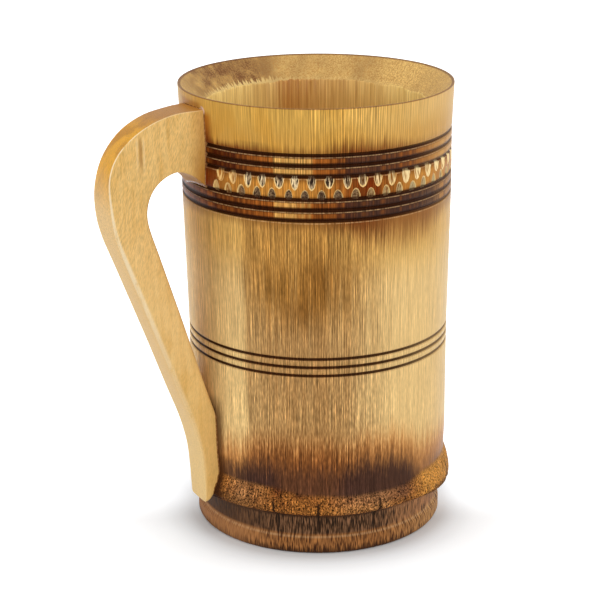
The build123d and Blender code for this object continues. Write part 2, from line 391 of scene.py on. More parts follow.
groove_steps = np.array((-0.75, -0.52, -0.44, -0.3, -0.1, 0.1, 0.3, 0.44, 0.52, 0.75))
wall_heights = np.concatenate(
    [np.arange(WALL_FOOT, WALL_TOP, WALL_STEP)] + [g + groove_steps for g in ALL_GROOVES])
wall_heights = np.array(sorted(z for z in wall_heights if all(
    abs(z - g) < BESIDE_GROOVE or abs(z - g) > CLEAR_OF_GROOVE for g in ALL_GROOVES)))
outside = np.column_stack((wall_radius(wall_heights) - groove_cut(wall_heights), wall_heights))
node_ridge = smooth_line([(43.3, 12.8), (44.8, 13.6), (45.3, 15.2), (44.7, 19.3), (43.2, 23.6)], 24)
section = {
    "underside": np.vstack((
        smooth_line([(0, 11), (10, 11), (20, 11), (31, 11), (34.5, 9.6), (35.4, 7), (35.4, 0.6)], 22),
        [(35.6, 0.1), (36.2, 0), (38.4, 0), (40.6, 0)],
    )),
    "foot": np.vstack((
        [(40.95, 0.08), (41.4, 0.4), (41.7, 0.95)],
        smooth_line([(41.7, 1.5), (41.65, 4.6), (41.3, 5.5), (40.8, 6.2)], 12),
        smooth_line([(40.7, 7.0), (40.7, 10.8), (41.4, 11.7), (42.6, 12.4)], 12),
    )),
    "skin": np.vstack((node_ridge, outside, [(44.8, 149.55), (44.76, 149.85), (44.62, 149.98)])),
    "bevel": np.vstack(([(44.5, 149.98)], smooth_line([(44.2, 149.75), (40.3, 145.9), (37.0, 142.4)], 14))),
    "lining": np.vstack((
        smooth_line([(36.72, 141.9), (36.3, 90), (35.8, 27)], 16),
        smooth_line([(35.7, 24), (34.2, 20.8), (30, 19.1), (20, 19.0), (10, 19.2), (0, 19.3)], 14),
    )),
}
rows = np.vstack(list(section.values()))
row_zone = np.concatenate([[i] * len(points) for i, points in enumerate(section.values())])
print("section of", len(rows), "points:", {name: len(points) for name, points in section.items()})

# %% [markdown]
# ## Turning the culm with Geometry Nodes
# The Screw modifier could swing the outline, but a node tree shows the rule itself: lay out a grid, let one
# side of it count the points of the section and the other the turn, and move each point to its place.
# The tree also writes each point's row into an attribute, so that later cells can find the stretches again.

# %% Turned culm
COLUMNS = 320
MERGE_DISTANCE = 0.002 * MM


def new_tree(name, inputs):
    """A Geometry Nodes tree with a geometry input and output, and named inputs for its sizes."""
    tree = bpy.data.node_groups.new(name, "GeometryNodeTree")
    tree.interface.new_socket("Geometry", in_out="INPUT", socket_type="NodeSocketGeometry")
    for label, kind in inputs.items():
        tree.interface.new_socket(label, in_out="INPUT", socket_type="NodeSocket" + kind)
    tree.interface.new_socket("Geometry", in_out="OUTPUT", socket_type="NodeSocketGeometry")
    given = tree.nodes.new("NodeGroupInput").outputs
    return tree, {socket.name: Signal(tree, socket) for socket in given if socket.name}


def close_tree(tree, geometry, material, faces=True):
    """Ends a tree in plain geometry with a material, on all faces or on some."""
    real = signal(tree, "GeometryNodeRealizeInstances", {0: geometry})
    painted = signal(tree, "GeometryNodeSetMaterial", {0: real, "Selection": faces, "Material": material})
    add_node(tree, "NodeGroupOutput", {0: painted})


def carried_out(obj, modifier):
    """The mesh that a modifier makes of an object, which loses the modifier."""
    evaluated = obj.evaluated_get(bpy.context.evaluated_depsgraph_get())
    mesh = bpy.data.meshes.new_from_object(evaluated)
    obj.modifiers.remove(modifier)
    return mesh


def plain_mesh(obj, tree, values):
    """Runs a tree on an object and keeps the result as a mesh with no modifier."""
    modifier = obj.modifiers.new(tree.name, "NODES")
    modifier.node_group = tree
    for socket in tree.interface.items_tree:
        if socket.in_out == "INPUT" and socket.name in values:
            modifier[socket.identifier] = values[socket.name]
    return carried_out(obj, modifier)


def turning_tree():
    """Swings the points of a section, given as radius and height, round the Z axis."""
    tree, given = new_tree("turned_culm", {
        "Columns": "Int", "Merge Distance": "Float", "Material": "Material"})
    count = signal(tree, "GeometryNodeAttributeDomainSize", {0: given["Geometry"]}, out="Point Count")
    sides = {"Vertices X": given["Columns"] + 1.0, "Vertices Y": count}
    sheet = signal(tree, "GeometryNodeMeshGrid", sides)
    split = {0: signal(tree, "GeometryNodeInputIndex"), 1: count}
    column = signal(tree, "FunctionNodeIntegerMath", split, operation="DIVIDE_FLOOR")
    row = signal(tree, "FunctionNodeIntegerMath", split, operation="MODULO")
    place = signal(tree, "GeometryNodeInputPosition")
    profile = signal(tree, "GeometryNodeSampleIndex", {
        "Geometry": given["Geometry"], "Value": place, "Index": row}, data_type="FLOAT_VECTOR")
    reach, _, level = add_node(tree, "ShaderNodeSeparateXYZ", {0: profile}).outputs
    turn = column / given["Columns"] * (2 * math.pi)
    swung = signal(tree, "ShaderNodeCombineXYZ", {
        0: -(turn.calc("COSINE") * reach), 1: -(turn.calc("SINE") * reach), 2: level})
    named = signal(tree, "GeometryNodeStoreNamedAttribute", {
        "Geometry": sheet, "Name": "row", "Value": row}, data_type="INT", domain="POINT")
    moved = signal(tree, "GeometryNodeSetPosition", {0: named, "Position": swung})
    merged = signal(tree, "GeometryNodeMergeByDistance", {0: moved, "Distance": given["Merge Distance"]})
    close_tree(tree, merged, given["Material"])
    return tree


def outward(mesh):
    """Turns every face of a closed mesh outwards."""
    work = bmesh.new()
    work.from_mesh(mesh)
    bmesh.ops.recalc_face_normals(work, faces=work.faces)
    work.to_mesh(mesh)
    work.free()


def new_piece(name, mesh):
    """A new object in the scene."""
    piece = bpy.data.objects.new(name, mesh)
    scene.collection.objects.link(piece)
    return piece


skin_finish = Finish("lacquered_culm")
section_mesh = bpy.data.meshes.new("culm_section")
section_points = [(r * MM, 0, z * MM) for r, z in rows]
section_mesh.from_pydata(section_points, [(i, i + 1) for i in range(len(rows) - 1)], [])
section_line = new_piece("culm_section", section_mesh)
culm_mesh = plain_mesh(section_line, turning_tree(), {
    "Columns": COLUMNS, "Merge Distance": MERGE_DISTANCE, "Material": skin_finish.material})
bpy.data.objects.remove(section_line)
outward(culm_mesh)
print("turned culm:", len(culm_mesh.polygons), "faces")

# %% [markdown]
# ## What nature and the lathe leave
# A culm is never quite round, its node runs round it in a gentle wave, and the ridge of the node is
# pitted where rootlets were cut away. At the top the tool tears the fibres, so the bevel ends in a ragged
# fringe. All of this is moved into the mesh itself, so it shows in the outline and from every side.

# %% Natural shape
RIM_LEAN = 0.35
LEAN_FROM = 60.0


def ripple(turn, height, seed, waves, fastest):
    """A random swell round the culm that closes on itself, about one unit high, the same on every run."""
    draw = np.random.default_rng(seed)
    total = np.zeros_like(turn)
    for _ in range(waves):
        total += np.cos(draw.integers(1, fastest + 1) * turn + draw.uniform(-0.04, 0.04) * height
                        + draw.uniform(0, 2 * math.pi))
    return total / math.sqrt(waves)


def ease(value, low, high):
    """Zero below low, one above high, smooth between."""
    t = np.clip((value - low) / (high - low), 0, 1)
    return t * t * (3 - 2 * t)


def rim_lean(z):
    """How far the axis of the culm leans aside at a height."""
    return RIM_LEAN * ease(z, LEAN_FROM, CUP_HEIGHT)


def mesh_points(mesh):
    """The points of a mesh in millimetres."""
    flat = np.empty(len(mesh.vertices) * 3)
    mesh.vertices.foreach_get("co", flat)
    return flat.reshape(-1, 3) / MM


print("shaping helpers ready")

# %% Points of the turned culm
LOW_WALL = 40.0

culm_points = mesh_points(culm_mesh)
culm_row = np.empty(len(culm_points), int)
culm_mesh.attributes["row"].data.foreach_get("value", culm_row)
zone_of_point = np.array(list(section))[row_zone[culm_row]]
on_skin, on_foot, on_bevel, on_lining = (
    zone_of_point == name for name in ("skin", "foot", "bevel", "lining"))
radius = np.hypot(culm_points[:, 0], culm_points[:, 1])
turn = np.arctan2(-culm_points[:, 1], -culm_points[:, 0])
degrees = np.degrees(turn)
height = culm_points[:, 2].copy()
low_wall = (on_skin | on_foot) & (height < LOW_WALL)
print("points:", {name: int(np.sum(zone_of_point == name)) for name in section})

# %% Ridge in the mesh
RIDGE_WAVE = 0.9
RIDGE_FRONT = math.radians(64)
EDGE_LIFT = 1.8
PIT_DEPTH = 0.55
PIT_LUMPS = ((0.65, 0.75), (0.5, 1.6))
WORN_BELOW = 14.2
WORN_DEPTH = 0.25
FILED_DEPTH = 1.2

# The node's ridge and the neck under it dip at both sides of the front.
dip = RIDGE_WAVE * np.sin(turn - RIDGE_FRONT) ** 2 + 0.35 * ripple(turn, height, 3, 5, 7)
share = ease(height, 0.6, 6.0) * (0.55 + 0.45 * ease(height, 6.0, 13.0)) * ease(height, LOW_WALL, 24)
culm_points[:, 2] -= np.where(low_wall, dip * share, 0)

# In front the neck was turned taller, so the lower edge of the ridge stands higher there.
in_front = ease(degrees, -60, -10) * ease(degrees, 140, 100)
near_edge = ease(height, 8.0, 12.6) * ease(height, 21.0, 14.5)
culm_points[:, 2] += np.where(low_wall, EDGE_LIFT * in_front * near_edge, 0)

# Rootlet scars pit the ridge, and the edge under it is worn.
pitted = np.where(on_skin, ease(height, 12.6, 14.5) * ease(height, 24.5, 21.0), 0)
for i in np.nonzero(pitted > 0)[0]:
    spot = Vector(culm_points[i])
    lumps = sum(share * noise.noise(spot * rate) for share, rate in PIT_LUMPS)
    radius[i] -= pitted[i] * PIT_DEPTH * max(0.0, 0.25 + lumps)
worn = np.where(height < WORN_BELOW, pitted, 0)
radius -= worn * WORN_DEPTH * np.abs(ripple(turn, height, 8, 9, 60))

# On the far side of the handle's tail the ridge was filed down to seat it.
filed = ease(degrees, -80, -45) * ease(degrees, -2, -12)
radius -= FILED_DEPTH * filed * pitted
print("ridge pitted at", int(np.sum(pitted > 0)), "points")

# %% Cracks, wall and rim in the mesh
CRACKS = (44.4, 63.4, 90.3, 141.0, -35.0, -82.0, -140.0)
CRACK_DEPTH = 0.55
CRACK_HALF = 0.7
WALL_SWELL = 0.28
TOOTH = 0.45
FLUTE = 0.14

# A few cracks run from the ridge down the neck.
for crack in CRACKS:
    close = np.exp(-(((degrees - crack) / CRACK_HALF) ** 2))
    radius -= CRACK_DEPTH * close * ease(height, 6.5, 8.0) * ease(height, 18.0, 15.0) * low_wall

# The wall swells a little, and the fringe of the bevel is ragged.
upright = np.where(on_skin, ease(height, 24, 34), 0)
radius += upright * (0.07 * ripple(turn, height, 5, 6, 5) + WALL_SWELL)
first_of_lining = culm_row[on_lining].min()
fringe = np.exp(-((culm_row - first_of_lining) / 1.6) ** 2)
teeth = np.random.default_rng(21).uniform(-1, 1, COLUMNS)
tooth = np.rint(turn / (2 * math.pi) * COLUMNS).astype(int) % COLUMNS
ragged = TOOTH * teeth[tooth] + 0.35 * ripple(turn, height, 6, 6, 24)
culm_points[:, 2] += np.where(on_lining | on_bevel, fringe * ragged, 0)
flutes = ripple(turn, height * 0.2, 12, 12, 70)
radius += np.where(on_lining, ease(height, 22, 40) * FLUTE * flutes, 0)

culm_points[:, 0] = -radius * np.cos(turn)
culm_points[:, 1] = -radius * np.sin(turn)
culm_points[:, 0] -= rim_lean(height) * math.cos(SWING)
culm_points[:, 1] += rim_lean(height) * math.sin(SWING)
culm_points[:, 2] = np.clip(culm_points[:, 2], 0.0, CUP_HEIGHT)
culm_mesh.vertices.foreach_set("co", (culm_points * MM).ravel())
print("widest radius", round(float(np.hypot(culm_points[:, 0], culm_points[:, 1]).max()), 2), "mm")

# %% [markdown]
# ## Gouge cuts
# Between the two sets of grooves a gouge was pushed into the wall again and again: one row of cuts runs up
# to the upper groove and one, set half a step round, runs down to the lower. A bump map would look flat at
# the outline, so each cut is a real one: a small solid with the gouge's sweep is placed round the band by
# Geometry Nodes, a little uneven as a hand leaves it, and taken away from the wall by Mesh Boolean.

# %% Gouge
CUT_WIDTH = 3.3
CUT_LENGTH = 4.1
CUT_DEPTH = 0.95
CUT_RUN_OUT = 2.2
GOUGE_SECTION = 7
GOUGE_HALF = 0.72
GOUGE_BACK = 3.6

sweep = CUT_WIDTH**2 / (8 * CUT_DEPTH)
across = np.linspace(-GOUGE_HALF, GOUGE_HALF, GOUGE_SECTION) * CUT_WIDTH
stations = np.array((-0.07, 0.0, 0.4, 0.7, 0.9, 1.1)) * CUT_LENGTH
gouge_rings = []
for down in stations:
    run = np.clip(down / CUT_LENGTH, 0, 2)
    deepest = -CUT_DEPTH * (1 - run**CUT_RUN_OUT)
    ring = [(deepest + 0.8 * y * y / (2 * sweep) + 0.1 * abs(y), y, -down) for y in across]
    ring += [(GOUGE_BACK, across[-1], -down), (GOUGE_BACK, across[0], -down)]
    gouge_rings.append(ring)


def skin_over(rings):
    """Faces over a row of closed rings of points, with both ends capped."""
    size = len(rings[0])
    points = [tuple(c * MM for c in p) for ring in rings for p in ring]
    faces = [tuple(range(size)), tuple(range(len(points) - size, len(points)))]
    for k in range(len(rings) - 1):
        for i in range(size):
            j = (i + 1) % size
            faces.append((k * size + i, k * size + j, (k + 1) * size + j, (k + 1) * size + i))
    mesh = bpy.data.meshes.new("rings")
    mesh.from_pydata(points, [], faces)
    outward(mesh)
    return mesh


gouge = new_piece("gouge", skin_over(gouge_rings))
print("gouge of", len(gouge.data.polygons), "faces")

# %% Rule for the cuts
UNEVEN_STEP = 0.008
UNEVEN_LEAN = 0.09
LOWER_LENGTH = 0.84


def gouging_tree():
    """Places the gouge in two rows round the band and cuts it out of the geometry."""
    tree, given = new_tree("gouge_cuts", {
        "Gouge": "Object", "Count": "Int", "Radius": "Float", "Upper Edge": "Float", "Lower Edge": "Float",
        "First Cut": "Float", "Stagger": "Float", "Bare By Handle": "Float", "Axis": "Vector",
        "Seed": "Int", "Cut Material": "Material"})
    tool = signal(tree, "GeometryNodeObjectInfo", {
        "Object": given["Gouge"], "As Instance": True}, out="Geometry")
    index = signal(tree, "GeometryNodeInputIndex")
    joined = add_node(tree, "GeometryNodeJoinGeometry")

    def chance(low, high, step):
        """A random number for each cut, another one for each step."""
        inputs = {2: low, 3: high, "Seed": given["Seed"] + step}
        return signal(tree, "FunctionNodeRandomValue", inputs, out=1, data_type="FLOAT")

    both_rows = (("Upper Edge", 0.0, 1.0), ("Lower Edge", math.pi, LOWER_LENGTH))
    for number, (edge, flip, length) in enumerate(both_rows):
        first = 10 * number
        angle = index * (2 * math.pi) / given["Count"] + given["First Cut"]
        angle = angle + given["Stagger"] * float(number) + chance(-UNEVEN_STEP, UNEVEN_STEP, first)
        away = -given["Radius"]
        spot = signal(tree, "ShaderNodeCombineXYZ", {
            0: angle.calc("COSINE") * away, 1: angle.calc("SINE") * away, 2: given[edge]})
        moved = signal(tree, "ShaderNodeVectorMath", {0: spot, 1: given["Axis"]}, operation="ADD")
        line = signal(tree, "GeometryNodePoints", {"Count": given["Count"], "Position": moved})
        heading = signal(tree, "ShaderNodeCombineXYZ", {
            0: chance(-UNEVEN_LEAN, UNEVEN_LEAN, first + 1) + flip, 2: angle + math.pi})
        size = signal(tree, "ShaderNodeCombineXYZ", {
            0: chance(0.85, 1.1, first + 2),
            1: chance(0.88, 1.08, first + 3) * (0.6 + 0.4 * length),
            2: chance(0.9, 1.1, first + 4) * length})
        clear = signal(tree, "FunctionNodeCompare", {
            0: angle.calc("COSINE"), 1: given["Bare By Handle"].calc("COSINE")},
            data_type="FLOAT", operation="LESS_THAN")
        placed = signal(tree, "GeometryNodeInstanceOnPoints", {
            "Points": line, "Instance": tool, "Selection": clear, "Rotation": heading, "Scale": size})
        plug(tree, placed, joined.inputs[0])
    real = signal(tree, "GeometryNodeRealizeInstances", {0: joined.outputs[0]})
    marked = signal(tree, "GeometryNodeStoreNamedAttribute", {
        "Geometry": real, "Name": "fresh_cut", "Value": True}, data_type="BOOLEAN", domain="FACE")
    cut = signal(tree, "GeometryNodeMeshBoolean", {
        0: given["Geometry"], 1: marked}, operation="DIFFERENCE", solver="MANIFOLD")
    fresh = signal(tree, "GeometryNodeInputNamedAttribute", {"Name": "fresh_cut"}, data_type="BOOLEAN")
    close_tree(tree, cut, given["Cut Material"], fresh)
    return tree


print("rule for the cuts ready")

# %% [markdown]
# Each stretch of the section gets its own slot for a material. A cut is a face of the gouge, and Mesh
# Boolean keeps an attribute of its faces, so the tree can give all the fresh cuts their own finish.
# Picking the faces by their place would also work, but not at the ragged ends of the cuts.

# %% Culm with its cuts
CUTS_ROUND = 53
FIRST_CUT = math.radians(21.0)
STAGGER = math.radians(-3.0)
BARE_BY_HANDLE = math.radians(14.5)
CUT_SEED = 4
INTO_GROOVE = 0.1
CULM_SHARP = math.radians(38)
BAND_SURFACE = BAND_RADIUS + WALL_SWELL
lean_at_band = rim_lean((FIELD_TOP + FIELD_BOTTOM) / 2)
band_axis = Vector((-lean_at_band * math.cos(SWING), lean_at_band * math.sin(SWING), 0))

zone_finish = {name: Finish(name + "_finish") for name in ("underside", "foot", "bevel", "lining")}
zone_finish["skin"] = skin_finish
cut_finish = Finish("gouge_cut")
culm_mesh.materials.clear()
for name in section:
    culm_mesh.materials.append(zone_finish[name].material)
for polygon in culm_mesh.polygons:
    last_row = max(culm_row[v] for v in polygon.vertices)
    polygon.material_index = row_zone[last_row]
whole_culm = new_piece("whole_culm", culm_mesh)
cut_mesh = plain_mesh(whole_culm, gouging_tree(), {
    "Gouge": gouge, "Count": CUTS_ROUND, "Radius": BAND_SURFACE * MM, "Axis": band_axis * MM,
    "Upper Edge": (FIELD_TOP - INTO_GROOVE) * MM, "Lower Edge": (FIELD_BOTTOM + INTO_GROOVE) * MM,
    "First Cut": FIRST_CUT, "Stagger": STAGGER, "Bare By Handle": BARE_BY_HANDLE, "Seed": CUT_SEED,
    "Cut Material": cut_finish.material})
culm = new_piece("bamboo_culm", cut_mesh)
cut_mesh.shade_smooth()
cut_mesh.set_sharp_from_angle(angle=CULM_SHARP)
print("culm with its cuts:", len(cut_mesh.polygons), "faces,", [m.name for m in cut_mesh.materials])

# %% [markdown]
# ## Handle
# The handle was sawn from a board to an ear shape and then sanded by hand, so its front outline is not
# quite its back outline, and its edges go from crisp on the shoulder to well rounded on the leg. It is
# lofted: at each station along it four corners are known, the edges between them are rounded, and the
# rings are skinned over. The ends run on into the culm, and a Boolean with the culm hollows them to fit.

# %% Handle outlines
ARM_WIDTH = 15.5
TAIL_WIDTH = 12.4
TAIL_SHIFT = 4.3
HANDLE_TOP = 145.4
TAIL_TIP = 12.8
STATIONS = 72


def handle_y(reach, z, side):
    """The front (side -1) or back (side 1) face of the handle, which sits a little askew on the wall."""
    drop = (HANDLE_TOP - z) / (HANDLE_TOP - TAIL_TIP)
    askew = np.interp(z, (112, 121, 146), (0, 0.5, 2.0)) * ease(reach, 70, 45)
    return -TAIL_SHIFT * drop - askew + side * (ARM_WIDTH - (ARM_WIDTH - TAIL_WIDTH) * drop) / 2


outer_front = [
    (41.6, 146.3), (47.0, 146.25), (54.2, 145.65), (61.7, 143.05), (68.4, 138.85), (73.3, 133.7),
    (75.9, 127.0), (75.8, 118.0), (74.4, 108.0), (70.8, 97.0), (65.3, 82.0), (60.0, 67.5), (54.4, 52.0),
    (50.4, 41.0), (48.0, 31.5), (47.1, 23.0), (46.9, 18.0), (47.0, 13.9)]
outer_back = [
    (41.6, 145.85), (45.6, 145.8), (51.6, 145.05), (59.3, 143.05), (67.15, 138.3), (73.2, 130.7),
    (76.1, 121.6), (76.3, 113.0), (74.8, 105.6), (71.4, 96.4), (66.0, 82.0), (60.6, 67.5), (55.0, 52.0),
    (50.9, 41.0), (48.4, 31.5), (47.5, 23.0), (47.2, 18.0), (46.9, 13.2)]
inner_front = [
    (41.3, 114.0), (42.2, 118.6), (44.4, 122.1), (48.4, 125.4), (53.0, 126.95), (57.7, 125.2),
    (61.4, 121.4), (63.2, 116.2), (62.8, 110.2), (59.4, 99.5), (53.6, 81.0), (48.9, 65.5), (44.2, 50.0),
    (41.0, 40.0), (40.4, 31.5), (40.6, 24.5), (42.4, 19.2), (45.0, 14.9)]
inner_back = [(41.3, 111.5), (42.2, 116.0), (44.6, 119.9), (48.4, 123.8), (53.0, 126.0)] + inner_front[5:]
print("outlines of", len(outer_front), "points each")

# %% Handle
CORNER_STEPS = 5
FACE_STEPS = 4
FACE_CROWN = 0.12
MOST_ROUNDED = 0.42
TIP_ROUNDING = ((0.5, 0.08), (0.9, 0.24), (1.1, 0.55))


def corner_line(points, side):
    """One of the handle's four long edges, in the cup's frame."""
    line = smooth_line(points, STATIONS)
    return np.column_stack((-line[:, 0], handle_y(line[:, 0], line[:, 1], side), line[:, 1]))


def along_handle(*values):
    """A size that changes along the handle, given at even steps."""
    return np.interp(np.linspace(0, 1, STATIONS), np.linspace(0, 1, len(values)), values)


edges = [corner_line(outer_front, -1), corner_line(outer_back, 1),
         corner_line(inner_back, 1), corner_line(inner_front, -1)]
rounding = [along_handle(0.5, 0.5, 0.5, 0.6, 0.8, 1.6, 2.6, 3.0, 2.8, 1.6, 1.2, 0.4),
            along_handle(1.5, 1.6, 1.8, 2.0, 2.2, 2.6, 2.8, 2.6, 1.8, 1.2, 0.8, 0.4),
            along_handle(0.9, 0.9, 0.9, 0.9, 1.2, 1.8, 2.2, 2.2, 1.6, 0.8, 0.5, 0.3),
            along_handle(0.5, 0.5, 0.5, 0.6, 1.0, 1.6, 2.2, 2.2, 1.6, 0.8, 0.5, 0.3)]
handle_rings = []
for k in range(STATIONS):
    corners = [line[k] for line in edges]
    middle = sum(corners) / 4
    turns = []
    for i in range(4):
        here, before, after = corners[i], corners[i - 1], corners[(i + 1) % 4]
        ends = []
        for other in (before, after):
            gap = np.linalg.norm(other - here)
            ends.append(here + (other - here) * min(rounding[i][k] / gap, MOST_ROUNDED))
        t = np.linspace(0, 1, CORNER_STEPS)[:, None]
        turns.append((1 - t) ** 2 * ends[0] + 2 * t * (1 - t) * here + t**2 * ends[1])
    ring = []
    for i in range(4):
        start, end = turns[i][-1], turns[(i + 1) % 4][0]
        ring += list(turns[i])
        out = (start + end) / 2 - middle
        out = out / np.linalg.norm(out)
        for t in np.linspace(0, 1, FACE_STEPS + 2)[1:-1]:
            ring.append(start + (end - start) * t + out * FACE_CROWN * 4 * t * (1 - t))
    handle_rings.append(ring)
tip = np.array(handle_rings[-1])
for drop_by, shrink in TIP_ROUNDING:
    rounded = tip + (tip.mean(axis=0) - tip) * shrink
    rounded[:, 2] -= drop_by
    handle_rings.append(list(rounded))
handle_blank = new_piece("handle_blank", skin_over(handle_rings))
print("handle blank of", len(handle_rings), "rings")

# %% [markdown]
# A UV map counts the points round each ring and the rings along the handle, so that the finish can tell
# the faces of the board apart. A Boolean keeps it.

# %% Faces of the handle
RING_MAP = "round_and_along"

ring_size = len(handle_rings[0])
ring_map = handle_blank.data.uv_layers.new(name=RING_MAP)
for polygon in handle_blank.data.polygons:
    spots = [handle_blank.data.loops[i].vertex_index for i in polygon.loop_indices]
    closing = {0, ring_size - 1} <= {spot % ring_size for spot in spots}
    for i, spot in zip(polygon.loop_indices, spots):
        round_ring = spot % ring_size
        if closing and round_ring == 0:
            round_ring = ring_size
        ring_map.data[i].uv = (round_ring, spot // ring_size)
print("rings of", ring_size, "points")

# %% [markdown]
# The bed of glue lifts the handle off the wall, so the handle is hollowed to a slightly thicker culm, whose
# grooves are filled.

# %% Hollowed handle
GLUE_THICKNESS = 0.28


def combined(piece, tool, operation):
    """The mesh of a piece after a Boolean with a tool's solid."""
    modifier = piece.modifiers.new("cut", "BOOLEAN")
    modifier.object = tool
    modifier.operation = operation
    modifier.solver = "MANIFOLD"
    return carried_out(piece, modifier)


def work_on(piece, *steps):
    """Takes a piece through Booleans with other solids, one after another."""
    for operation, tool in steps:
        piece.data = combined(piece, tool, operation)


def one_finish(mesh, finish, sharp):
    """Gives a mesh one material, and smooth shading up to an angle in degrees."""
    mesh.materials.clear()
    mesh.materials.append(finish.material)
    mesh.shade_smooth()
    mesh.set_sharp_from_angle(angle=math.radians(sharp))


swollen_mesh = culm_mesh.copy()
swell = GLUE_THICKNESS + groove_cut(height) + 0.06 * ripple(turn, height * 3, 31, 9, 40)
swell = np.where(on_skin, swell, 0.0)
swollen_points = culm_points.copy()
swollen_points[:, 0] -= swell * np.cos(turn)
swollen_points[:, 1] -= swell * np.sin(turn)
swollen_mesh.vertices.foreach_set("co", (swollen_points * MM).ravel())
swollen_culm = new_piece("swollen_culm", swollen_mesh)

handle_finish = Finish("handle_wood")
handle = new_piece("wooden_handle", handle_blank.data.copy())
work_on(handle, ("DIFFERENCE", swollen_culm))
print("handle:", len(handle.data.polygons), "faces")

# %% [markdown]
# ## Glue
# Some glue was squeezed out when the handle was pressed on: it shows as a thin dark line along both joints
# and as a shiny drop at the arm's upper corner. The same two Boolean tools give it a shape that fits: a
# slightly swollen handle, only where it lies inside the thicker culm, with the culm itself taken away.

# %% Glue
CRUMB = 0.04 * MM
SQUEEZED_OUT = 0.22
JOINTS_APART = 80.0

glue_finish = Finish("dried_glue")
glue_blank = new_piece("glue_blank", handle_blank.data.copy())
for vertex in glue_blank.data.vertices:
    lumpy = 0.5 + 0.9 * abs(noise.noise(vertex.co / MM * 0.35))
    vertex.co += vertex.normal * SQUEEZED_OUT * lumpy * MM
work_on(glue_blank, ("INTERSECT", swollen_culm), ("DIFFERENCE", whole_culm))


def keep_largest(work):
    """Deletes every part of a BMesh but the one with the most faces."""
    unseen = set(work.faces)
    parts = []
    while unseen:
        part = [unseen.pop()]
        for face in part:
            near = {other for edge in face.edges for other in edge.link_faces} & unseen
            unseen -= near
            part += near
        parts.append(part)
    parts.sort(key=len)
    crumbs = [face for part in parts[:-1] for face in part]
    bmesh.ops.delete(work, geom=crumbs, context="FACES")


def half_of(mesh, name, above):
    """The piece of a mesh over or under the level that parts the two joints."""
    work = bmesh.new()
    work.from_mesh(mesh)
    spare = [v for v in work.verts if (v.co.z / MM > JOINTS_APART) != above]
    bmesh.ops.delete(work, geom=spare, context="VERTS")
    keep_largest(work)
    half = bpy.data.meshes.new(name)
    work.to_mesh(half)
    work.free()
    return new_piece(name, half)


def tidied(mesh):
    """Splits the faces of a mesh into triangles and removes the thin crumbs that Booleans leave."""
    work = bmesh.new()
    work.from_mesh(mesh)
    bmesh.ops.dissolve_degenerate(work, edges=work.edges, dist=MERGE_DISTANCE)
    bmesh.ops.triangulate(work, faces=work.faces)
    bmesh.ops.dissolve_degenerate(work, edges=work.edges, dist=MERGE_DISTANCE)
    bmesh.ops.remove_doubles(work, verts=work.verts, dist=CRUMB)
    crowded = [edge for edge in work.edges if len(edge.link_faces) > 2]
    while crowded:
        thinnest = min(crowded[0].link_faces, key=lambda face: face.calc_area())
        bmesh.ops.delete(work, geom=[thinnest], context="FACES")
        crowded = [edge for edge in work.edges if len(edge.link_faces) > 2]
    open_edges = [edge for edge in work.edges if len(edge.link_faces) == 1]
    bmesh.ops.holes_fill(work, edges=open_edges, sides=0)
    keep_largest(work)
    work.to_mesh(mesh)
    work.free()
    mesh.validate()


print("glue between handle and wall:", len(glue_blank.data.polygons), "faces")

# %% Two beds and a drop
DROP_TURN = math.radians(11.2)
DROP_HEIGHT = 146.5
DROP_SIZE = (0.95, 1.95, 0.95)
DROP_LEAN = math.radians(38)
DROP_SUNK = 0.25

upper_glue = half_of(glue_blank.data, "upper_glue", True)
lower_glue = half_of(glue_blank.data, "lower_glue", False)
drop_shape = bmesh.new()
bmesh.ops.create_icosphere(drop_shape, subdivisions=4, radius=MM)
drop_mesh = bpy.data.meshes.new("glue_drop")
drop_shape.to_mesh(drop_mesh)
drop_shape.free()
drop_spot = Vector((-math.cos(DROP_TURN), -math.sin(DROP_TURN), 0)) * (RIM_RADIUS - DROP_SUNK) * MM
drop_spot.z = DROP_HEIGHT * MM
drop_mesh.transform(
    Matrix.Translation(drop_spot)
    @ Matrix.Rotation(DROP_TURN, 4, "Z")
    @ Matrix.Rotation(DROP_LEAN, 4, "X")
    @ Matrix.Diagonal((*DROP_SIZE, 1.0)))
drop = new_piece("glue_drop", drop_mesh)
work_on(upper_glue, ("UNION", drop), ("DIFFERENCE", whole_culm), ("DIFFERENCE", handle))
print("glue in two beds, with a drop on the upper one")

# %% [markdown]
# ## Peg holes
# Three hidden bamboo pegs hold the joints. Their own solids stay as they are in the imported model, so only
# their holes are bored here: the box of each peg in the frame gives the hole's place, reach and radius.

# %% Peg holes
PEGS = ("upper_dowel_high", "upper_dowel_low", "lower_dowel")
HOLE_CLEARANCE = 0.1
HOLE_END_ROOM = 0.5
HOLE_SIDES = 32
GLUE_SHARP = 50
HANDLE_SHARP = 42

holes = []
for peg in PEGS:
    low, high = (np.array(corner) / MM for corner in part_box(peg))
    middle = (low + high) / 2
    bore = (high[2] - low[2]) / 2 + HOLE_CLEARANCE
    circle = [(middle[1] + bore * math.cos(a), middle[2] + bore * math.sin(a))
              for a in np.linspace(0, 2 * math.pi, HOLE_SIDES, endpoint=False)]
    ends = (low[0] - HOLE_END_ROOM, high[0] + HOLE_END_ROOM)
    bore_rings = [[(x, y, z) for y, z in circle] for x in ends]
    holes.append(new_piece("hole_for_" + peg, skin_over(bore_rings)))
for hole in holes:
    hole.data.materials.append(cut_finish.material)
    for piece in (culm, handle, upper_glue if "upper" in hole.name else lower_glue):
        work_on(piece, ("DIFFERENCE", hole))
for spent in [handle_blank, glue_blank, whole_culm, swollen_culm, gouge, drop] + holes:
    bpy.data.objects.remove(spent)
for glue in (upper_glue, lower_glue):
    tidied(glue.data)
    one_finish(glue.data, glue_finish, GLUE_SHARP)
    print(glue.name, len(glue.data.polygons), "faces")
culm.data.set_sharp_from_angle(angle=CULM_SHARP)
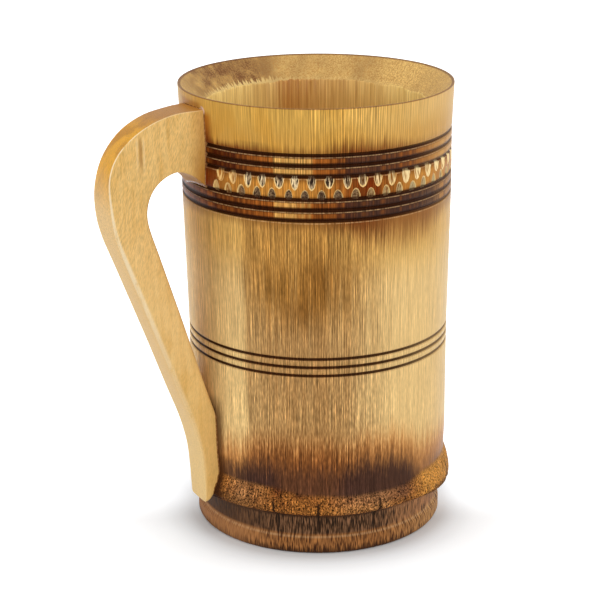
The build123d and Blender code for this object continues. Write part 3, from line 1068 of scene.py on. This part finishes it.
one_finish(handle.data, handle_finish, HANDLE_SHARP)
print("bored", len(holes), "holes")
print("culm", len(culm.data.polygons), "faces, handle", len(handle.data.polygons), "faces")

# %% [markdown]
# ## Finish of the culm's wall
# Under its lacquer the bamboo is pale gold with fine upright fibres. A flame was then passed over it: the
# front is toasted to a brown amber with a sharp edge on the left and a soft one on the right, the turned
# bands are charred in patches, the wood just above and below them is scorched, and the node is burnt nearly
# black. Every one of these is a mask: a formula of the height and of the turn round the cup, roughened by
# the fibres, because a flame follows them.

# %% Wood of the wall, and the flame on it
s = skin_finish
fibre = s.noise((1.9, 1.9, 0.03), rough=0.65)
strand = s.noise((0.7, 0.7, 0.014), shift=4.0)
thread = s.fan(2.7, 0.07)
dash = s.fan(2.3, 0.4, shift=7.0)
wander = s.noise((0.02, 0.02, 0.05), shift=9.0)
round_cup = s.turn + wander.sway(6.0)
# The pale upright stripe at 18 to 30 degrees, sharp on its right, is partly paler wood and partly a painted
# highlight on the lacquer.
toasted = s.follow(
    round_cup, (-180, 0.3), (-150, 0.75), (-100, 0.85), (-62, 0.3), (-30, 0.05), (2, 0.14), (13, 0.33),
    (18, 0.15), (24, 0.08), (29.5, 0.05), (32.5, 0.76), (44, 0.95), (66, 1.0), (76, 0.82), (86, 0.5),
    (95, 0.12), (105, 0.03), (150, 0.1), (180, 0.3))
stripe = s.follow(round_cup, (12, 0), (18, 1), (29.5, 1), (32, 0)) * s.z.rise(62, 92) * 0.12
toast = toasted + stripe + strand.sway(0.55)
pale = s.mix(s.z.rise(88, 108), (0.78, 0.535, 0.225), (0.69, 0.415, 0.12))
deep = s.coats(
    (0.385, 0.205, 0.07),
    (s.z.rise(72, 92), (0.34, 0.155, 0.032)),
    (s.z.rise(95, 104) * 0.6, (0.47, 0.235, 0.055)))
column = s.follow(round_cup, (56, 0), (63, 0.8), (69, 1.0), (74, 0.4), (80, 0)) * s.z.band(86, 104, 8.0)
patch = s.follow(round_cup, (46, 0), (53, 0.8), (59, 1.0), (65, 0)) * s.z.band(80, 90, 6.0)
colour = s.coats(
    pale, (toast, deep), ((column + patch) * strand.rise(0.15, 0.55) * 0.75, (0.2, 0.08, 0.014)))
print("wall:", len(s.tree.nodes), "nodes")

# %% [markdown]
# Above the bands the wall is amber near the handle and paler on the right, blotched where the flame only
# touched it, and dark round the arm's joint. It could be part of the formulas before, but it has little in
# common with the wall below, so it is a second set of coats that starts at the topmost groove.

# %% Wall above the bands
amber = s.follow(
    round_cup, (-180, 0.3), (-100, 0.9), (-30, 0.5), (14, 1.0), (70, 0.95), (95, 0.5), (120, 0.0),
    (180, 0.3))
blotch = s.noise((0.1, 0.1, 0.08), detail=3.0, shift=15.0)
warm = s.around(0.3, (14, 0.8), (50, 1.0), (66, 0.6), (90, 0.3))
# Beside the arm's joint the wall is darker, and darkest towards the band.
by_arm = s.around(0, (-18, 0), (-13, 0.7), (0, 1.0), (11, 1.0), (14.5, 0.9), (17, 0))
by_arm = by_arm * s.z.rise(146.5, 144)
dark_by_arm_joint = s.mix(s.z.rise(144, 137), (0.42, 0.13, 0.012), (0.2, 0.035, 0.004))
over_arm = s.around(0, (-10, 0), (-7.5, 0.8), (8, 0.8), (10.5, 0)) * s.z.band(144, 148, 0.7)
stain = s.around(0, (28, 0), (32, 1.0), (41, 1.0), (44, 0)) * s.z.band(135.5, 138.8, 0.5)
top = s.coats(
    (0.7, 0.44, 0.155),
    (amber, (0.6, 0.34, 0.072)),
    (s.z.rise(147, 138) * 0.45, (0.5, 0.235, 0.04)),
    (blotch.rise(0.44, 0.62) * warm * 0.55, (0.58, 0.285, 0.042)),
    (by_arm * 0.9, dark_by_arm_joint),
    (over_arm, (0.42, 0.18, 0.035)),
    (s.z.rise(149.6, 149.85) * 0.8, (0.22, 0.085, 0.025)),
    (stain * 0.45, (0.34, 0.18, 0.04)))
colour = s.mix(s.z.rise(BAND_TOP - 0.5, BAND_TOP + 0.2), colour, top)
print("with the top:", len(s.tree.nodes), "nodes")

# %% [markdown]
# The flame ran off the bands in brown tongues. A plain gradient in height would look sprayed on, so the
# distance from the band is divided by a reach that changes round the cup, and the fibres shift it.

# %% Scorched edges of the bands
SCORCH_BELOW = 14.0
SCORCH_ABOVE = 6.6

reach = s.around(
    0.5, (-60, 0.6), (14, 0.25), (60, 0.32), (77, 0.5), (80, 0.9), (100, 0.9), (115, 0.85), (128, 0.45),
    (150, 0.4)) * SCORCH_BELOW
heat = s.around(0.8, (-60, 0.8), (14, 0.45), (62, 0.5), (78, 0.9), (86, 1.0), (115, 0.95), (130, 0.55))
below = (-s.z + (BAND_BOTTOM - 0.2)) / reach + strand.sway(0.6) + thread.sway(0.6)
under_band = s.z.rise(BAND_BOTTOM + 0.4, BAND_BOTTOM - 0.1)
veil = s.around(0.3, (80, 0), (97, 1.0), (116, 0.9), (132, 0.35)) * s.z.rise(97, 111)
reach_above = s.around(0.5, (62, 0.5), (76, 1.0), (92, 0.85), (106, 0.5)) * SCORCH_ABOVE
heat_above = s.around(
    0.3, (-60, 0.8), (30, 1.0), (50, 0.5), (66, 0.6), (78, 1.0), (100, 0.7), (112, 0.3), (130, 0.15))
above = (s.z - (BAND_TOP + 0.2)) / reach_above + strand.sway(1.2) + thread.sway(0.5)
over_band = s.z.rise(BAND_TOP - 0.2, BAND_TOP + 0.3)
colour = s.coats(
    colour,
    (below.rise(1.0, 0.05) * under_band * heat, (0.13, 0.026, 0.004)),
    (veil * under_band * 0.5, (0.42, 0.19, 0.05)),
    (above.rise(1.0, 0.0) * over_band * heat_above, (0.17, 0.042, 0.008)))
print("with the scorched edges:", len(s.tree.nodes), "nodes")

# %% [markdown]
# Each band stands between three grooves. Its crowns are charred in patches, and the grooves hold soot.
# The thin bright lip under each groove is partly a worn edge and partly a painted highlight. Right of the
# front the char carries a painted grey reflection, and farther round it has a lighter tone that is partly
# a painted highlight. This could be painted on a UV map, but the heights of the grooves are known, so lines
# that are drawn from the same numbers always lie in them.

# %% Charred bands and grooves
BAND_PITCH = 3.4
MIDDLE_PITCH = 2.8
CROWN_SHIFT = 1.65
LIP_SHIFT = -0.78
MIDDLE_LIP_SHIFT = -0.68


def along_grooves(shift, half_width, soft=0.1):
    """One on lines a shift above the grooves of both bands."""
    return (s.rings(UPPER_GROOVES[1] + shift, BAND_PITCH, half_width, soft)
            + s.rings(LOWER_GROOVES[1] + shift, BAND_PITCH, half_width, soft))


charred = s.around(
    0.4, (-150, 0.9), (-110, 0.5), (-80, 0.95), (-30, 0.75), (0, 1.0), (28, 1.0), (37, 0.66), (45.6, 0.58),
    (46.4, 0.1), (60.6, 0.1), (61.4, 0.55), (68, 0.64), (75, 0.97), (88, 1.0), (104, 0.78), (116, 0.58),
    (128, 0.32), (150, 0.25))
charred_lower = s.around(
    0.4, (-30, 0.2), (12, 0.02), (28, 0.05), (36, 0.2), (45, 0.3), (61, 0.4), (85, 0.2), (100, 0.4),
    (118, 0.65), (135, 0.65)) - 0.2
char = charred + charred_lower * s.z.rise(126, 124) + strand.sway(0.9) + thread.sway(0.2)
crowns = along_grooves(CROWN_SHIFT, 0.66, 0.25)
# Right of the front the char turns greyer, a painted reflection of a lamp on the right, and farther round
# it turns a lighter ochre, partly a painted highlight.
ochre_and_lit_side = s.turn.rise(100, 122) * s.turn.rise(175, 160)
grey_sheen_side = s.turn.rise(60, 85)
burnt = s.coats(
    (0.6, 0.315, 0.08),
    (char.rise(0.05, 0.6), s.mix(ochre_and_lit_side, (0.33, 0.095, 0.014), (0.42, 0.19, 0.045))),
    (char.rise(0.5, 1.15), s.mix(grey_sheen_side, (0.048, 0.006, 0.001), (0.052, 0.022, 0.015))),
    (crowns.inverse() * (ochre_and_lit_side * -0.45 + 0.88),
     s.mix(grey_sheen_side, (0.026, 0.005, 0.001), (0.033, 0.015, 0.01))))
reddened = s.around(
    0.3, (-90, 0.8), (0, 1.0), (15, 1.0), (20, 0.45), (30, 0.15), (60, 0.2), (72, 0.65), (85, 1.0),
    (96, 0.6), (108, 0.1)) + strand.sway(0.6)
field = s.coats(
    (0.54, 0.235, 0.04),
    (reddened, (0.16, 0.022, 0.002)),
    ((s.z.rise(125.8, 128.2) + s.z.rise(122.8, 121.6)) * 0.7, (0.09, 0.021, 0.004)))
grooves = along_grooves(0.0, 0.5) + s.rings(MIDDLE_GROOVES[1], MIDDLE_PITCH, 0.45)
groove_char = s.follow(s.turn, (-180, 0.85), (0, 0.97), (96, 0.95), (118, 0.75), (150, 0.65), (180, 0.8))
# The thin bright lip under each groove: partly a worn edge, partly a painted highlight.
worn_lip_highlights = along_grooves(LIP_SHIFT, 0.13) + s.rings(MIDDLE_GROOVES[1] + MIDDLE_LIP_SHIFT, MIDDLE_PITCH, 0.06)
lit_lips = strand.rise(0.36, 0.6) * 0.42 + dash.rise(0.4, 0.68) * 0.2 + 0.12
colour = s.coats(
    colour,
    (s.z.band(BAND_BOTTOM, FIELD_BOTTOM, 0.1) + s.z.band(FIELD_TOP, BAND_TOP, 0.1), burnt),
    (s.z.band(FIELD_BOTTOM, FIELD_TOP, 0.15), field),
    (s.rings(MIDDLE_GROOVES[1], MIDDLE_PITCH, 0.7, 0.3) * 0.35, (0.2, 0.065, 0.006)),
    (grooves * groove_char, (0.026, 0.005, 0.0006)),
    (worn_lip_highlights * lit_lips, (0.56, 0.33, 0.15)))
print("with the bands:", len(s.tree.nodes), "nodes")

# %% [markdown]
# The foot of the wall was burnt most, to a height that changes round the cup. Three noises of different
# length tear the edge of the burn, because soot runs up along the fibres. First the wood is reddened, by
# a coat that multiplies and so keeps its streaks, and then the soot covers it.

# %% Burnt node
BURN_SPAN = 8.0

burn_height = s.around(
    0.7, (-120, 1.0), (-60, 0.6), (14, 0.65), (19, 0.55), (27, 0.55), (31.5, 0.85), (36, 1.0), (76, 1.0),
    (86, 1.14), (97, 1.12), (106, 0.9), (115, 0.3), (145, 0.2)) * BURN_SPAN - BURN_SPAN
flame = s.z - burn_height + strand.sway(8.0) + thread.sway(12.0) + dash.sway(6.0)
node_char = s.around(
    0.85, (-60, 0.9), (14, 0.8), (30, 0.97), (43, 0.97), (49, 0.78), (69, 0.8), (76, 0.97), (108, 0.97),
    (116, 0.78), (145, 0.62))
sharp = s.around(0, (10, 0), (17, 1.0), (28, 1.0), (35, 0)) * 0.8
soot = flame.rise(40, 26) * sharp.inverse() + flame.rise(36.5, 30) * sharp
colour = s.coats(
    colour,
    (flame.rise(47, 33) * 0.85, (0.72, 0.38, 0.18), "MULTIPLY"),
    (soot * node_char, (0.046, 0.02, 0.015)))
print("with the burnt foot:", len(s.tree.nodes), "nodes")

# %% [markdown]
# The ridge keeps its rough husk, golden on the right and nearly black beside the handle's tail, and its
# ragged lower flank gets painted shade. Its specks are a factor on the colour and not one more coat, so
# that they stay dark and light in the husk's own hue. Beside the tail a painted contact shadow, with a glue
# line in it, runs down the wall.

# %% Ridge of the node
RIDGE_FOOT = 13.8
RIDGE_SPAN = 10.0

speck = s.noise((2.3, 2.3, 1.6), rough=0.6, warp=0.6)
lump = s.noise((0.25, 0.25, 0.3), shift=11.0)
ridge_top = s.around(
    0.9, (-60, 1.0), (14, 1.0), (44, 0.97), (56, 0.8), (80, 0.72), (104, 0.74), (116, 0.9))
ridge_top = ridge_top * RIDGE_SPAN + RIDGE_FOOT
fair_side = s.around(
    0.6, (-60, 0.3), (14, 0.6), (22, 0.7), (31, 0.66), (36, 0.35), (46, 0.3), (66, 0.47), (78, 0.58),
    (88, 0.62), (95, 0.55), (104, 0.3), (112, 0.75), (120, 1.0), (150, 1.0))
tan = s.around(
    0, (18, 0), (28, 0.8), (36, 0.5), (45, 0), (66, 0), (77, 0.6), (92, 0.9), (102, 0.2), (106, 0))
golden = s.turn.rise(106, 118) * s.turn.rise(178, 155)
husk = s.coats((0.54, 0.205, 0.042), (golden, (0.66, 0.295, 0.058)), (tan, (0.57, 0.27, 0.105)))
dusk = s.around(0, (66, 0), (78, 0.35), (94, 0.45), (103, 0.9), (109, 0.4), (115, 0)) * s.z.rise(15.5, 19)
ridge = s.coats(
    (0.115, 0.033, 0.009),
    (fair_side + lump.sway(1.3), husk),
    (dusk * 0.7, (0.13, 0.058, 0.038)),
    (s.z.rise(20.0, 15.5) * fair_side * 0.35, (0.58, 0.25, 0.05)))
grit = s.around(6.6, (104, 6.6), (122, 3.6), (150, 3.6))
by_tail = s.around(0, (-40, 0), (-20, 1.0), (18, 1.0), (30, 0.55), (42, 0)) * s.z.rise(21, 17)
# Painted shade on the ridge's ragged lower flank, which faces down over the neck.
ragged_shade_under_ridge = (s.z + speck.sway(5.0) + dash.sway(3.0)).rise(16.0, 14.6)
ridge = s.coats(
    s.shade(ridge, (speck.sway(grit) + 0.86).calc("MAXIMUM", 0.07)),
    (by_tail * 0.75, (0.055, 0.02, 0.008)),
    (ragged_shade_under_ridge * 0.75, (0.05, 0.013, 0.005)),
    (s.slits(CRACKS, 8.0, 19.5) * 0.9, (0.015, 0.007, 0.004)))
on_ridge = (s.z - ridge_top + speck.sway(4.5)).rise(0.9, -0.9)
# The wall is darker along and under the handle's tail.
dark_along_tail = s.around(0, (-19, 0), (-15, 0.8), (0, 1.0), (13, 1.0), (16, 0.5), (19, 0))
dark_along_tail = dark_along_tail * s.z.band(16, 48, 5)
# A painted contact shadow runs down the wall beside the handle's tail, with a glue line in it.
contact_shadow_and_glue = s.around(0, (8, 0), (12, 1.0), (16.2, 1.0), (17.6, 0.35), (19.5, 0)) * s.z.rise(54, 40)
colour = s.coats(
    colour,
    (on_ridge, ridge),
    (dark_along_tail * 0.75, (0.15, 0.045, 0.008)),
    (contact_shadow_and_glue * (s.z.rise(30, 18) * 0.3 + 0.6), (0.035, 0.011, 0.004)))
print("with the ridge:", len(s.tree.nodes), "nodes")

# %% [markdown]
# Bamboo shows fine upright streaks through every stain, so the streaks come last, as a factor on the
# whole colour. A shiny coat would turn the wall grey at its edges, where it mirrors the white room. The
# lacquer is thin and satin, so its reflection is kept weak and tinted like the wood.

# %% Fibres and lacquer of the wall
LACQUER_TINT = (1.0, 0.7, 0.42)
RIBS_PER_DEGREE = 5.6
RIB_WAVER = 16.0

waver = s.fan(0.3, 0.012, detail=2.0, shift=2.0)
ribs = (s.turn * RIBS_PER_DEGREE + waver * RIB_WAVER).calc("SINE")
on_top = s.z.rise(134, 136)
calm = s.around(0.4, (10, 0.6), (54, 0.55), (68, 0.2), (100, 0.12), (120, 0.3))
depth = s.around(0.6, (10, 0.5), (29, 0.55), (36, 1.0), (78, 1.0), (98, 0.34), (140, 0.26))
depth = depth * (calm * on_top).inverse()
dashed = s.follow(s.z, (20, 1.6), (56, 1.9), (72, 1.3), (110, 1.2), (134, 0.5), (150, 0.5))
ribbed = s.around(0.7, (10, 0.5), (40, 0.6), (60, 1.0), (88, 1.0), (100, 0.5), (130, 0.3))
rib_depth = on_top * calm.inverse() * 0.14 - on_top * calm * 0.12 + 0.12
streaks = fibre.sway(0.3) + thread.sway(depth) * 2.9 + dash.sway(depth) * dashed + ribs * ribbed * rib_depth
colour = s.shade(colour, streaks.calc("EXPONENT"))
rough = fibre.sway(0.25) + on_ridge * 0.2 + 0.36
relief = fibre.sway(0.06) + dash.sway(0.05) + strand.sway(0.04) + speck.sway(on_ridge) * 0.5
s.surface(
    colour, rough, relief,
    Specular_IOR_Level=0.05, Specular_Tint=LACQUER_TINT, Coat_Weight=0.005, Coat_Roughness=0.12)

# %% [markdown]
# ## Finishes that the tools leave
# The gouge leaves bright wood streaked with darker furrows along the fibres. Its bright streaks and its
# pale edge are partly fresh wood and partly painted highlights on the lacquer. In front the cuts are
# painted in shade, dark inside and darkest at their deep end by the groove, and right of the front they are
# painted lit. The edge could be picked by hand, but the depth of a point is known from its distance to the
# band's axis, so the pale edge follows the real edge of each cut.

# %% Gouge cuts
g = cut_finish
furrow = g.fan(1.5, 0.2, detail=2.0)
fine = g.fan(2.6, 0.5, shift=5.0)
dotted = g.noise((1.7, 1.7, 1.7), rough=0.7)
aside = g.x - band_axis.x
ahead = g.y - band_axis.y
from_axis = (aside * aside + ahead * ahead).calc("SQRT")
# The pale edge of each cut is partly fresh wood and partly a painted highlight.
edge = ((-from_axis + BAND_SURFACE) / CUT_DEPTH + furrow.sway(0.3)).rise(0.32, 0.12)
# Painted shade inside the cuts on the front, and painted light on them right of the front.
shaded_side = g.around(
    0.6, (0, 0.3), (20, 0.0), (27, 0.15), (32, 1.0), (74, 1.0), (90, 0.55), (102, 0.12), (130, 0.05),
    (150, 0.3))
lit_side = g.turn.rise(88, 104)
# Pale fresh wood with a painted glint on the lacquer.
wood_and_glint = g.mix(lit_side, (0.88, 0.57, 0.21), (0.97, 0.75, 0.38))
bright = g.mix((furrow + lit_side * 0.08).rise(0.42, 0.58), (0.42, 0.16, 0.025), wood_and_glint)
streaked = g.coats(
    (0.018, 0.008, 0.005),
    ((furrow + fine.sway(0.9)).rise(0.44, 0.51), (0.36, 0.24, 0.13)),
    ((furrow + fine.sway(0.6)).rise(0.54, 0.6), (0.98, 0.77, 0.45)))
upper = g.mix(shaded_side, bright, g.mix(edge, streaked, (0.88, 0.6, 0.24)))
lower = g.coats(
    (0.055, 0.025, 0.013),
    (dotted.rise(0.4, 0.62), (0.26, 0.165, 0.085)),
    (shaded_side.inverse() * 0.8, g.shade(bright, lit_side * -0.35 + 1.0)),
    (edge * 0.8, (0.8, 0.54, 0.2)))
# Painted shade in the deep end of each cut, next to its groove.
shade_by_groove = g.z.rise(127.6, 128.3) + g.z.rise(122.2, 121.6)
fresh = g.coats(lower, (g.z.rise(124.2, 124.8), upper), (shade_by_groove * 0.8, (0.05, 0.018, 0.007)))
g.surface(fresh, furrow * 0.3 + 0.25, furrow * 0.2, Specular_IOR_Level=0.12, Specular_Tint=(1.0, 0.75, 0.5))

# %% [markdown]
# The foot and the neck show bare, burnt fibres with a few cracks. One noise along the fibres makes the
# dark and the fair streaks and the relief, so that they agree with each other. The dark line at the top of
# the neck is painted shade under the ridge, the pale line on the foot's ledge is a painted highlight, and
# the foot darkens towards the floor in painted contact shade.

# %% Foot and neck
f = zone_finish["foot"]
fibre = f.fan(1.9, 0.24, detail=2.0) + f.fan(3.0, 0.3, shift=4.0).sway(0.7)
blotch = f.noise((0.25, 0.25, 0.15), shift=3.0)
crack = f.slits(CRACKS, 7.2, 15.5)
fair = f.around(
    0.5, (-40, 0.3), (14, 0.5), (24, 0.6), (34, 0.25), (45, 0.1), (92, 0.1), (112, 0.5), (128, 1.0),
    (150, 1.0))
fairer = fair + f.turn.band(100, 124, 7.0) * 0.4
by_tail = f.around(0, (-40, 0), (-20, 1.0), (20, 1.0), (32, 0.6), (44, 0))
neck = f.coats(
    (0.011, 0.005, 0.003),
    (fibre.rise(0.44, 0.72), (0.3, 0.145, 0.072)),
    (fairer * fibre.rise(0.3, 0.6) * 0.85, (0.48, 0.215, 0.085)),
    # Painted shade under the ridge's lower edge, at the top of the neck.
    ((f.z + fibre.sway(1.5)).rise(12.2, 13.6) * 0.7, (0.035, 0.01, 0.004)),
    (by_tail * 0.8, (0.045, 0.02, 0.011)))
plain = f.follow(f.turn, (-60, 0.2), (0, 0.6), (26, 0.6), (44, 0))
foot = f.coats(
    (0.044, 0.012, 0.005),
    (fibre.rise(0.34, 0.66), (0.43, 0.165, 0.045)),
    (blotch.rise(0.45, 0.7) * 0.5, (0.2, 0.075, 0.025)),
    (fair * fibre.rise(0.4, 0.56) * 0.8, (0.61, 0.33, 0.12)),
    (plain, (0.4, 0.165, 0.058)),
    # Painted contact shade towards the floor, weaker on the fair side.
    ((f.z + fibre.sway(4.0)).rise(3.4, 0.8) * (fair.inverse() * 0.9), (0.03, 0.01, 0.005)),
    # Painted highlight on the foot's ledge, which faces up.
    (f.z.band(5.5, 6.1, 0.25) * fibre.rise(0.3, 0.6) * 0.6, (0.55, 0.32, 0.15)))
colour = f.coats(
    foot, ((f.z + fibre.sway(1.2)).rise(6.0, 7.2), neck), (crack * 0.85, (0.02, 0.01, 0.006)))
f.surface(
    colour, fibre * 0.3 + 0.42, fibre * 0.22 - crack * 0.3,
    Specular_IOR_Level=0.15, Specular_Tint=LACQUER_TINT)

# %% [markdown]
# The bevel at the rim is sanded across the fibres, so it is speckled, with brown patches at the back and a
# pale, torn fringe. An even noise gives the specks, and one that is drawn along the fibres gives the hairs.

# %% Bevel of the rim
b = zone_finish["bevel"]
fuzz = b.noise((2.0, 2.0, 2.0), rough=0.6)
hairs = b.fan(0.9, 0.12, detail=3.0, rough=0.6)
patch = b.noise((0.16, 0.16, 0.16), detail=3.0, shift=5.0)
brown = b.around(
    0.15, (-172, 0.0), (-155, 0.05), (-140, 0.55), (-128, 0.3), (-110, 0.45), (-101, 0.4), (-92, 0.7),
    (-83, 1.0), (-50, 1.0), (-38, 0.7), (-20, 0.3), (60, 0.35), (140, 0.2))
mottled = brown * (patch * 2.2 + fuzz * 2.0 + hairs * 0.6 - 1.7).rise(-0.1, 1.1)
torn = b.around(0.2, (-120, 0.3), (-95, 0.5), (-84, 1.0), (-55, 1.0), (-40, 0.4), (0, 0.3))
colour = b.coats(
    (0.54, 0.285, 0.075),
    (fuzz.sway(3.8) + hairs * 0.5 + 0.22, (0.93, 0.63, 0.21)),
    (mottled, (0.19, 0.075, 0.019)),
    (b.z.rise(149.5, 149.8) * 0.8, (0.18, 0.07, 0.02)),
    ((b.z + hairs.sway(6.0)).rise(143.5, 142.7) * torn * 0.85, (0.86, 0.62, 0.24)))
b.surface(colour, fuzz * 0.3 + 0.38, fuzz * 0.2 + hairs * 0.15, Specular_IOR_Level=0.2)

# %% [markdown]
# Inside, the wall keeps the brown skin that lines every culm, and the floor is the thin partition of the
# node. Both belong to one stretch of the section, so the height tells them apart.

# %% Inside of the cup
i = zone_finish["lining"]
streak = i.fan(0.85, 0.03, detail=2.0, rough=0.6)
cloud = i.noise((0.08, 0.08, 0.05), detail=3.0, shift=2.0)
browned = i.around(
    0.1, (-165, 0.2), (-145, 0.5), (-120, 0.7), (-100, 1.0), (-92, 0.55), (-80, 0.3), (-60, 0.1), (0, 0.2),
    (60, 0.6), (120, 0.3))
floor_ring = (i.radius + cloud.sway(6.0)).rise(26, 31)
floor_tone = i.coats(
    (0.5, 0.3, 0.11),
    (cloud.rise(0.35, 0.65), (0.34, 0.17, 0.055)),
    (floor_ring * 0.7, (0.22, 0.1, 0.03)))
colour = i.coats(
    (0.92, 0.66, 0.22),
    (browned - streak.sway(1.0), (0.5, 0.215, 0.04)),
    (i.z.rise(70, 25) * 0.6, (0.4, 0.21, 0.07)),
    (i.z.rise(22.5, 20.5), floor_tone))
colour = i.shade(colour, streak.sway(0.9) + 1.0)
i.surface(colour, streak * 0.25 + 0.35, streak * 0.2 + cloud * 0.3, Specular_IOR_Level=0.35)

# %% [markdown]
# Under the cup the wall is cut across, so each bundle of fibres shows as a dark dot. Plain noise would give
# clouds; the distance to the nearest of many scattered points gives dots.

# %% Underside
u = zone_finish["underside"]
grain = u.noise((1.2, 1.2, 1.2), detail=3.0, rough=0.7)
dots = u.cells((1.15, 1.15, 0.25)).rise(0.34, 0.2)
on_ring = u.radius.rise(35.0, 36.5)
turned = (u.radius * 3.2 + grain.sway(3.0)).calc("SINE") * 0.5 + 0.5
partition = u.coats(
    (0.34, 0.18, 0.06),
    (grain.rise(0.35, 0.7), (0.55, 0.34, 0.13)),
    (turned * 0.2, (0.26, 0.13, 0.045)),
    (u.radius.rise(27, 34) * 0.6, (0.2, 0.09, 0.03)))
end_grain = u.mix(dots * 0.8, (0.5, 0.29, 0.1), (0.15, 0.065, 0.022))
colour = u.coats(partition, (on_ring, end_grain), (u.radius.rise(39.6, 40.8) * 0.7, (0.07, 0.03, 0.014)))
relief = grain * 0.2 + turned * 0.04 - dots * on_ring * 0.1
u.surface(colour, grain * 0.3 + 0.45, relief, Specular_IOR_Level=0.3)

# %% [markdown]
# ## Finish of the handle
# The handle is a pale honey wood under a thin satin lacquer. Its grain runs down the board, with fine short
# pores, and its outside is a little more orange where the lacquer gathered over the arch. Along the front
# crease runs a painted highlight, broken like wear. Near the wall the wood gets painted shade with a glue
# stain, and under the arm it gets painted shade. The board's sides could be told apart by their normals,
# but its edges are rounded, so the UV map of the rings is steadier.

# %% Handle wood
FRONT_CREASE = 2.0
BACK_CREASE = 11.0
INNER_FACE = (21, 28)
KNOT_X = -65.3

h = handle_finish
round_ring = h.make("ShaderNodeSeparateXYZ", {0: h.make("ShaderNodeUVMap", uv_map=RING_MAP)})
outer_band = round_ring.band(FRONT_CREASE + 0.4, BACK_CREASE, 0.6)
inner_band = round_ring.band(*INNER_FACE, 0.6)
crease = (round_ring - FRONT_CREASE).calc("ABSOLUTE").rise(1.4, 0.3)
grain = h.noise((0.55, 0.55, 0.035), detail=3.0, rough=0.6, warp=0.3)
pores = h.noise((3.6, 3.6, 0.55), detail=1.5, shift=6.0, tilt=-14.0)
cloud = h.noise((0.13, 0.13, 0.08), detail=3.0, shift=13.0)
face = h.coats(
    (0.78, 0.505, 0.185),
    (grain.rise(0.35, 0.68), (0.7, 0.42, 0.13)),
    (h.z.band(60, 112, 14) * 0.3, (0.92, 0.63, 0.29)),
    (h.z.rise(62, 22) * 0.6, (0.7, 0.42, 0.135)),
    (cloud.rise(0.48, 0.64) * 0.3, (0.66, 0.36, 0.085)))
arch = h.coats(
    (0.76, 0.37, 0.036),
    (cloud.rise(0.42, 0.6), (0.56, 0.25, 0.03)),
    (h.x.rise(-68, -56) * h.z.rise(134, 142) * 0.85, (0.42, 0.2, 0.07)),
    (h.x.rise(-51, -46) * h.z.rise(136, 143) * 0.8, (0.48, 0.21, 0.03)))
side = h.coats(
    (0.82, 0.55, 0.245), (h.z.rise(60, 25) * 0.9, (0.86, 0.6, 0.26)), (h.z.rise(112, 132), arch))
pored = h.z.rise(80, 110) * 0.5 + 0.5
wood = h.shade(h.mix(outer_band, face, side), (pores.sway(pored) * 1.1).calc("EXPONENT"))
streak = (h.x - KNOT_X + grain.sway(0.8)).calc("ABSOLUTE")
knot = h.follow(h.z, (126, 0), (129, 0.4), (132, 1.0), (138, 0.9), (140, 0)) * outer_band.inverse()
# How strongly the front crease shows its painted highlight, which is broken like wear, along the height.
worn = h.follow(h.z, (20, 0.1), (60, 0.35), (90, 0.8), (138, 0.9), (144, 0.5), (147, 0.3))
# Painted shade near the joint with the wall, with a glue stain, and painted shade under the arm.
shade_and_glue_by_wall = (h.radius + grain.sway(3.0)).rise(52.0, 45.2) * h.z.rise(80, 100)
shade_under_arm = h.z.rise(127, 124) * h.z.rise(100, 112) * h.x.rise(-54, -50)
wood = h.coats(
    wood,
    (pores.rise(0.62, 0.74) * 0.4, (0.42, 0.22, 0.065)),
    (streak.rise(0.75, 0.2) * knot * 0.7, (0.36, 0.17, 0.045)),
    ((streak - 1.1).calc("ABSOLUTE").rise(0.6, 0.1) * knot * 0.35, (0.92, 0.72, 0.42)),
    (crease * (worn * grain.rise(0.25, 0.5)) * 0.8, (0.98, 0.84, 0.58)),
    (shade_and_glue_by_wall * (h.z.rise(142, 122) * 0.45 + 0.5), (0.4, 0.165, 0.022)),
    (shade_under_arm * inner_band * 0.45, (0.44, 0.23, 0.05)))
h.surface(
    wood, pores * 0.3 + 0.34, pores * 0.08 + grain * 0.05,
    Specular_IOR_Level=0.08, Specular_Tint=(1.0, 0.8, 0.55), Coat_Weight=0.01, Coat_Roughness=0.2)

# %% [markdown]
# The glue dried to an amber brown, and the drop at the arm is paler because light goes into it. Real
# translucency would be slow for so small a drop, so it only has a lighter tone. The pegs are split bamboo,
# with straight grain along their length.

# %% Glue and pegs
d = glue_finish
lumps = d.noise((0.8, 0.8, 0.8), detail=3.0)
thick = lumps.rise(0.3, 0.7)
on_drop = d.z.rise(144.6, 145.6) * d.turn.rise(8.5, 9.8)
colour = d.coats(
    (0.16, 0.055, 0.014),
    (thick, (0.36, 0.16, 0.045)),
    (on_drop, d.mix(thick, (0.5, 0.27, 0.14), (0.74, 0.52, 0.38))))
d.surface(colour, lumps * 0.2 + 0.16, lumps * 0.15, Specular_IOR_Level=0.3, Coat_Weight=0.1)

p = Finish("split_bamboo")
line = p.noise((0.06, 2.4, 2.4), detail=3.0, rough=0.6)
colour = p.mix(line.rise(0.3, 0.7), (0.66, 0.44, 0.19), (0.44, 0.25, 0.09))
p.surface(colour, line * 0.3 + 0.45, line * 0.1)
for peg in PEGS:
    peg_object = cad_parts[peg]
    peg_object.data.materials.clear()
    peg_object.data.materials.append(p.material)
print("pegs shown:", len(PEGS))

# %% [markdown]
# ## Back to the frame
# Each finished piece rides on the cup's one body and takes the place of its CAD node.

# %% Hang the pieces on the frame
for piece, node, slot in (
        (culm, "culm_body", "bamboo"), (handle, "handle", "handle_wood"),
        (upper_glue, "upper_glue_bed", "glue"), (lower_glue, "lower_glue_bed", "glue")):
    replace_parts(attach(piece, "root"), node)
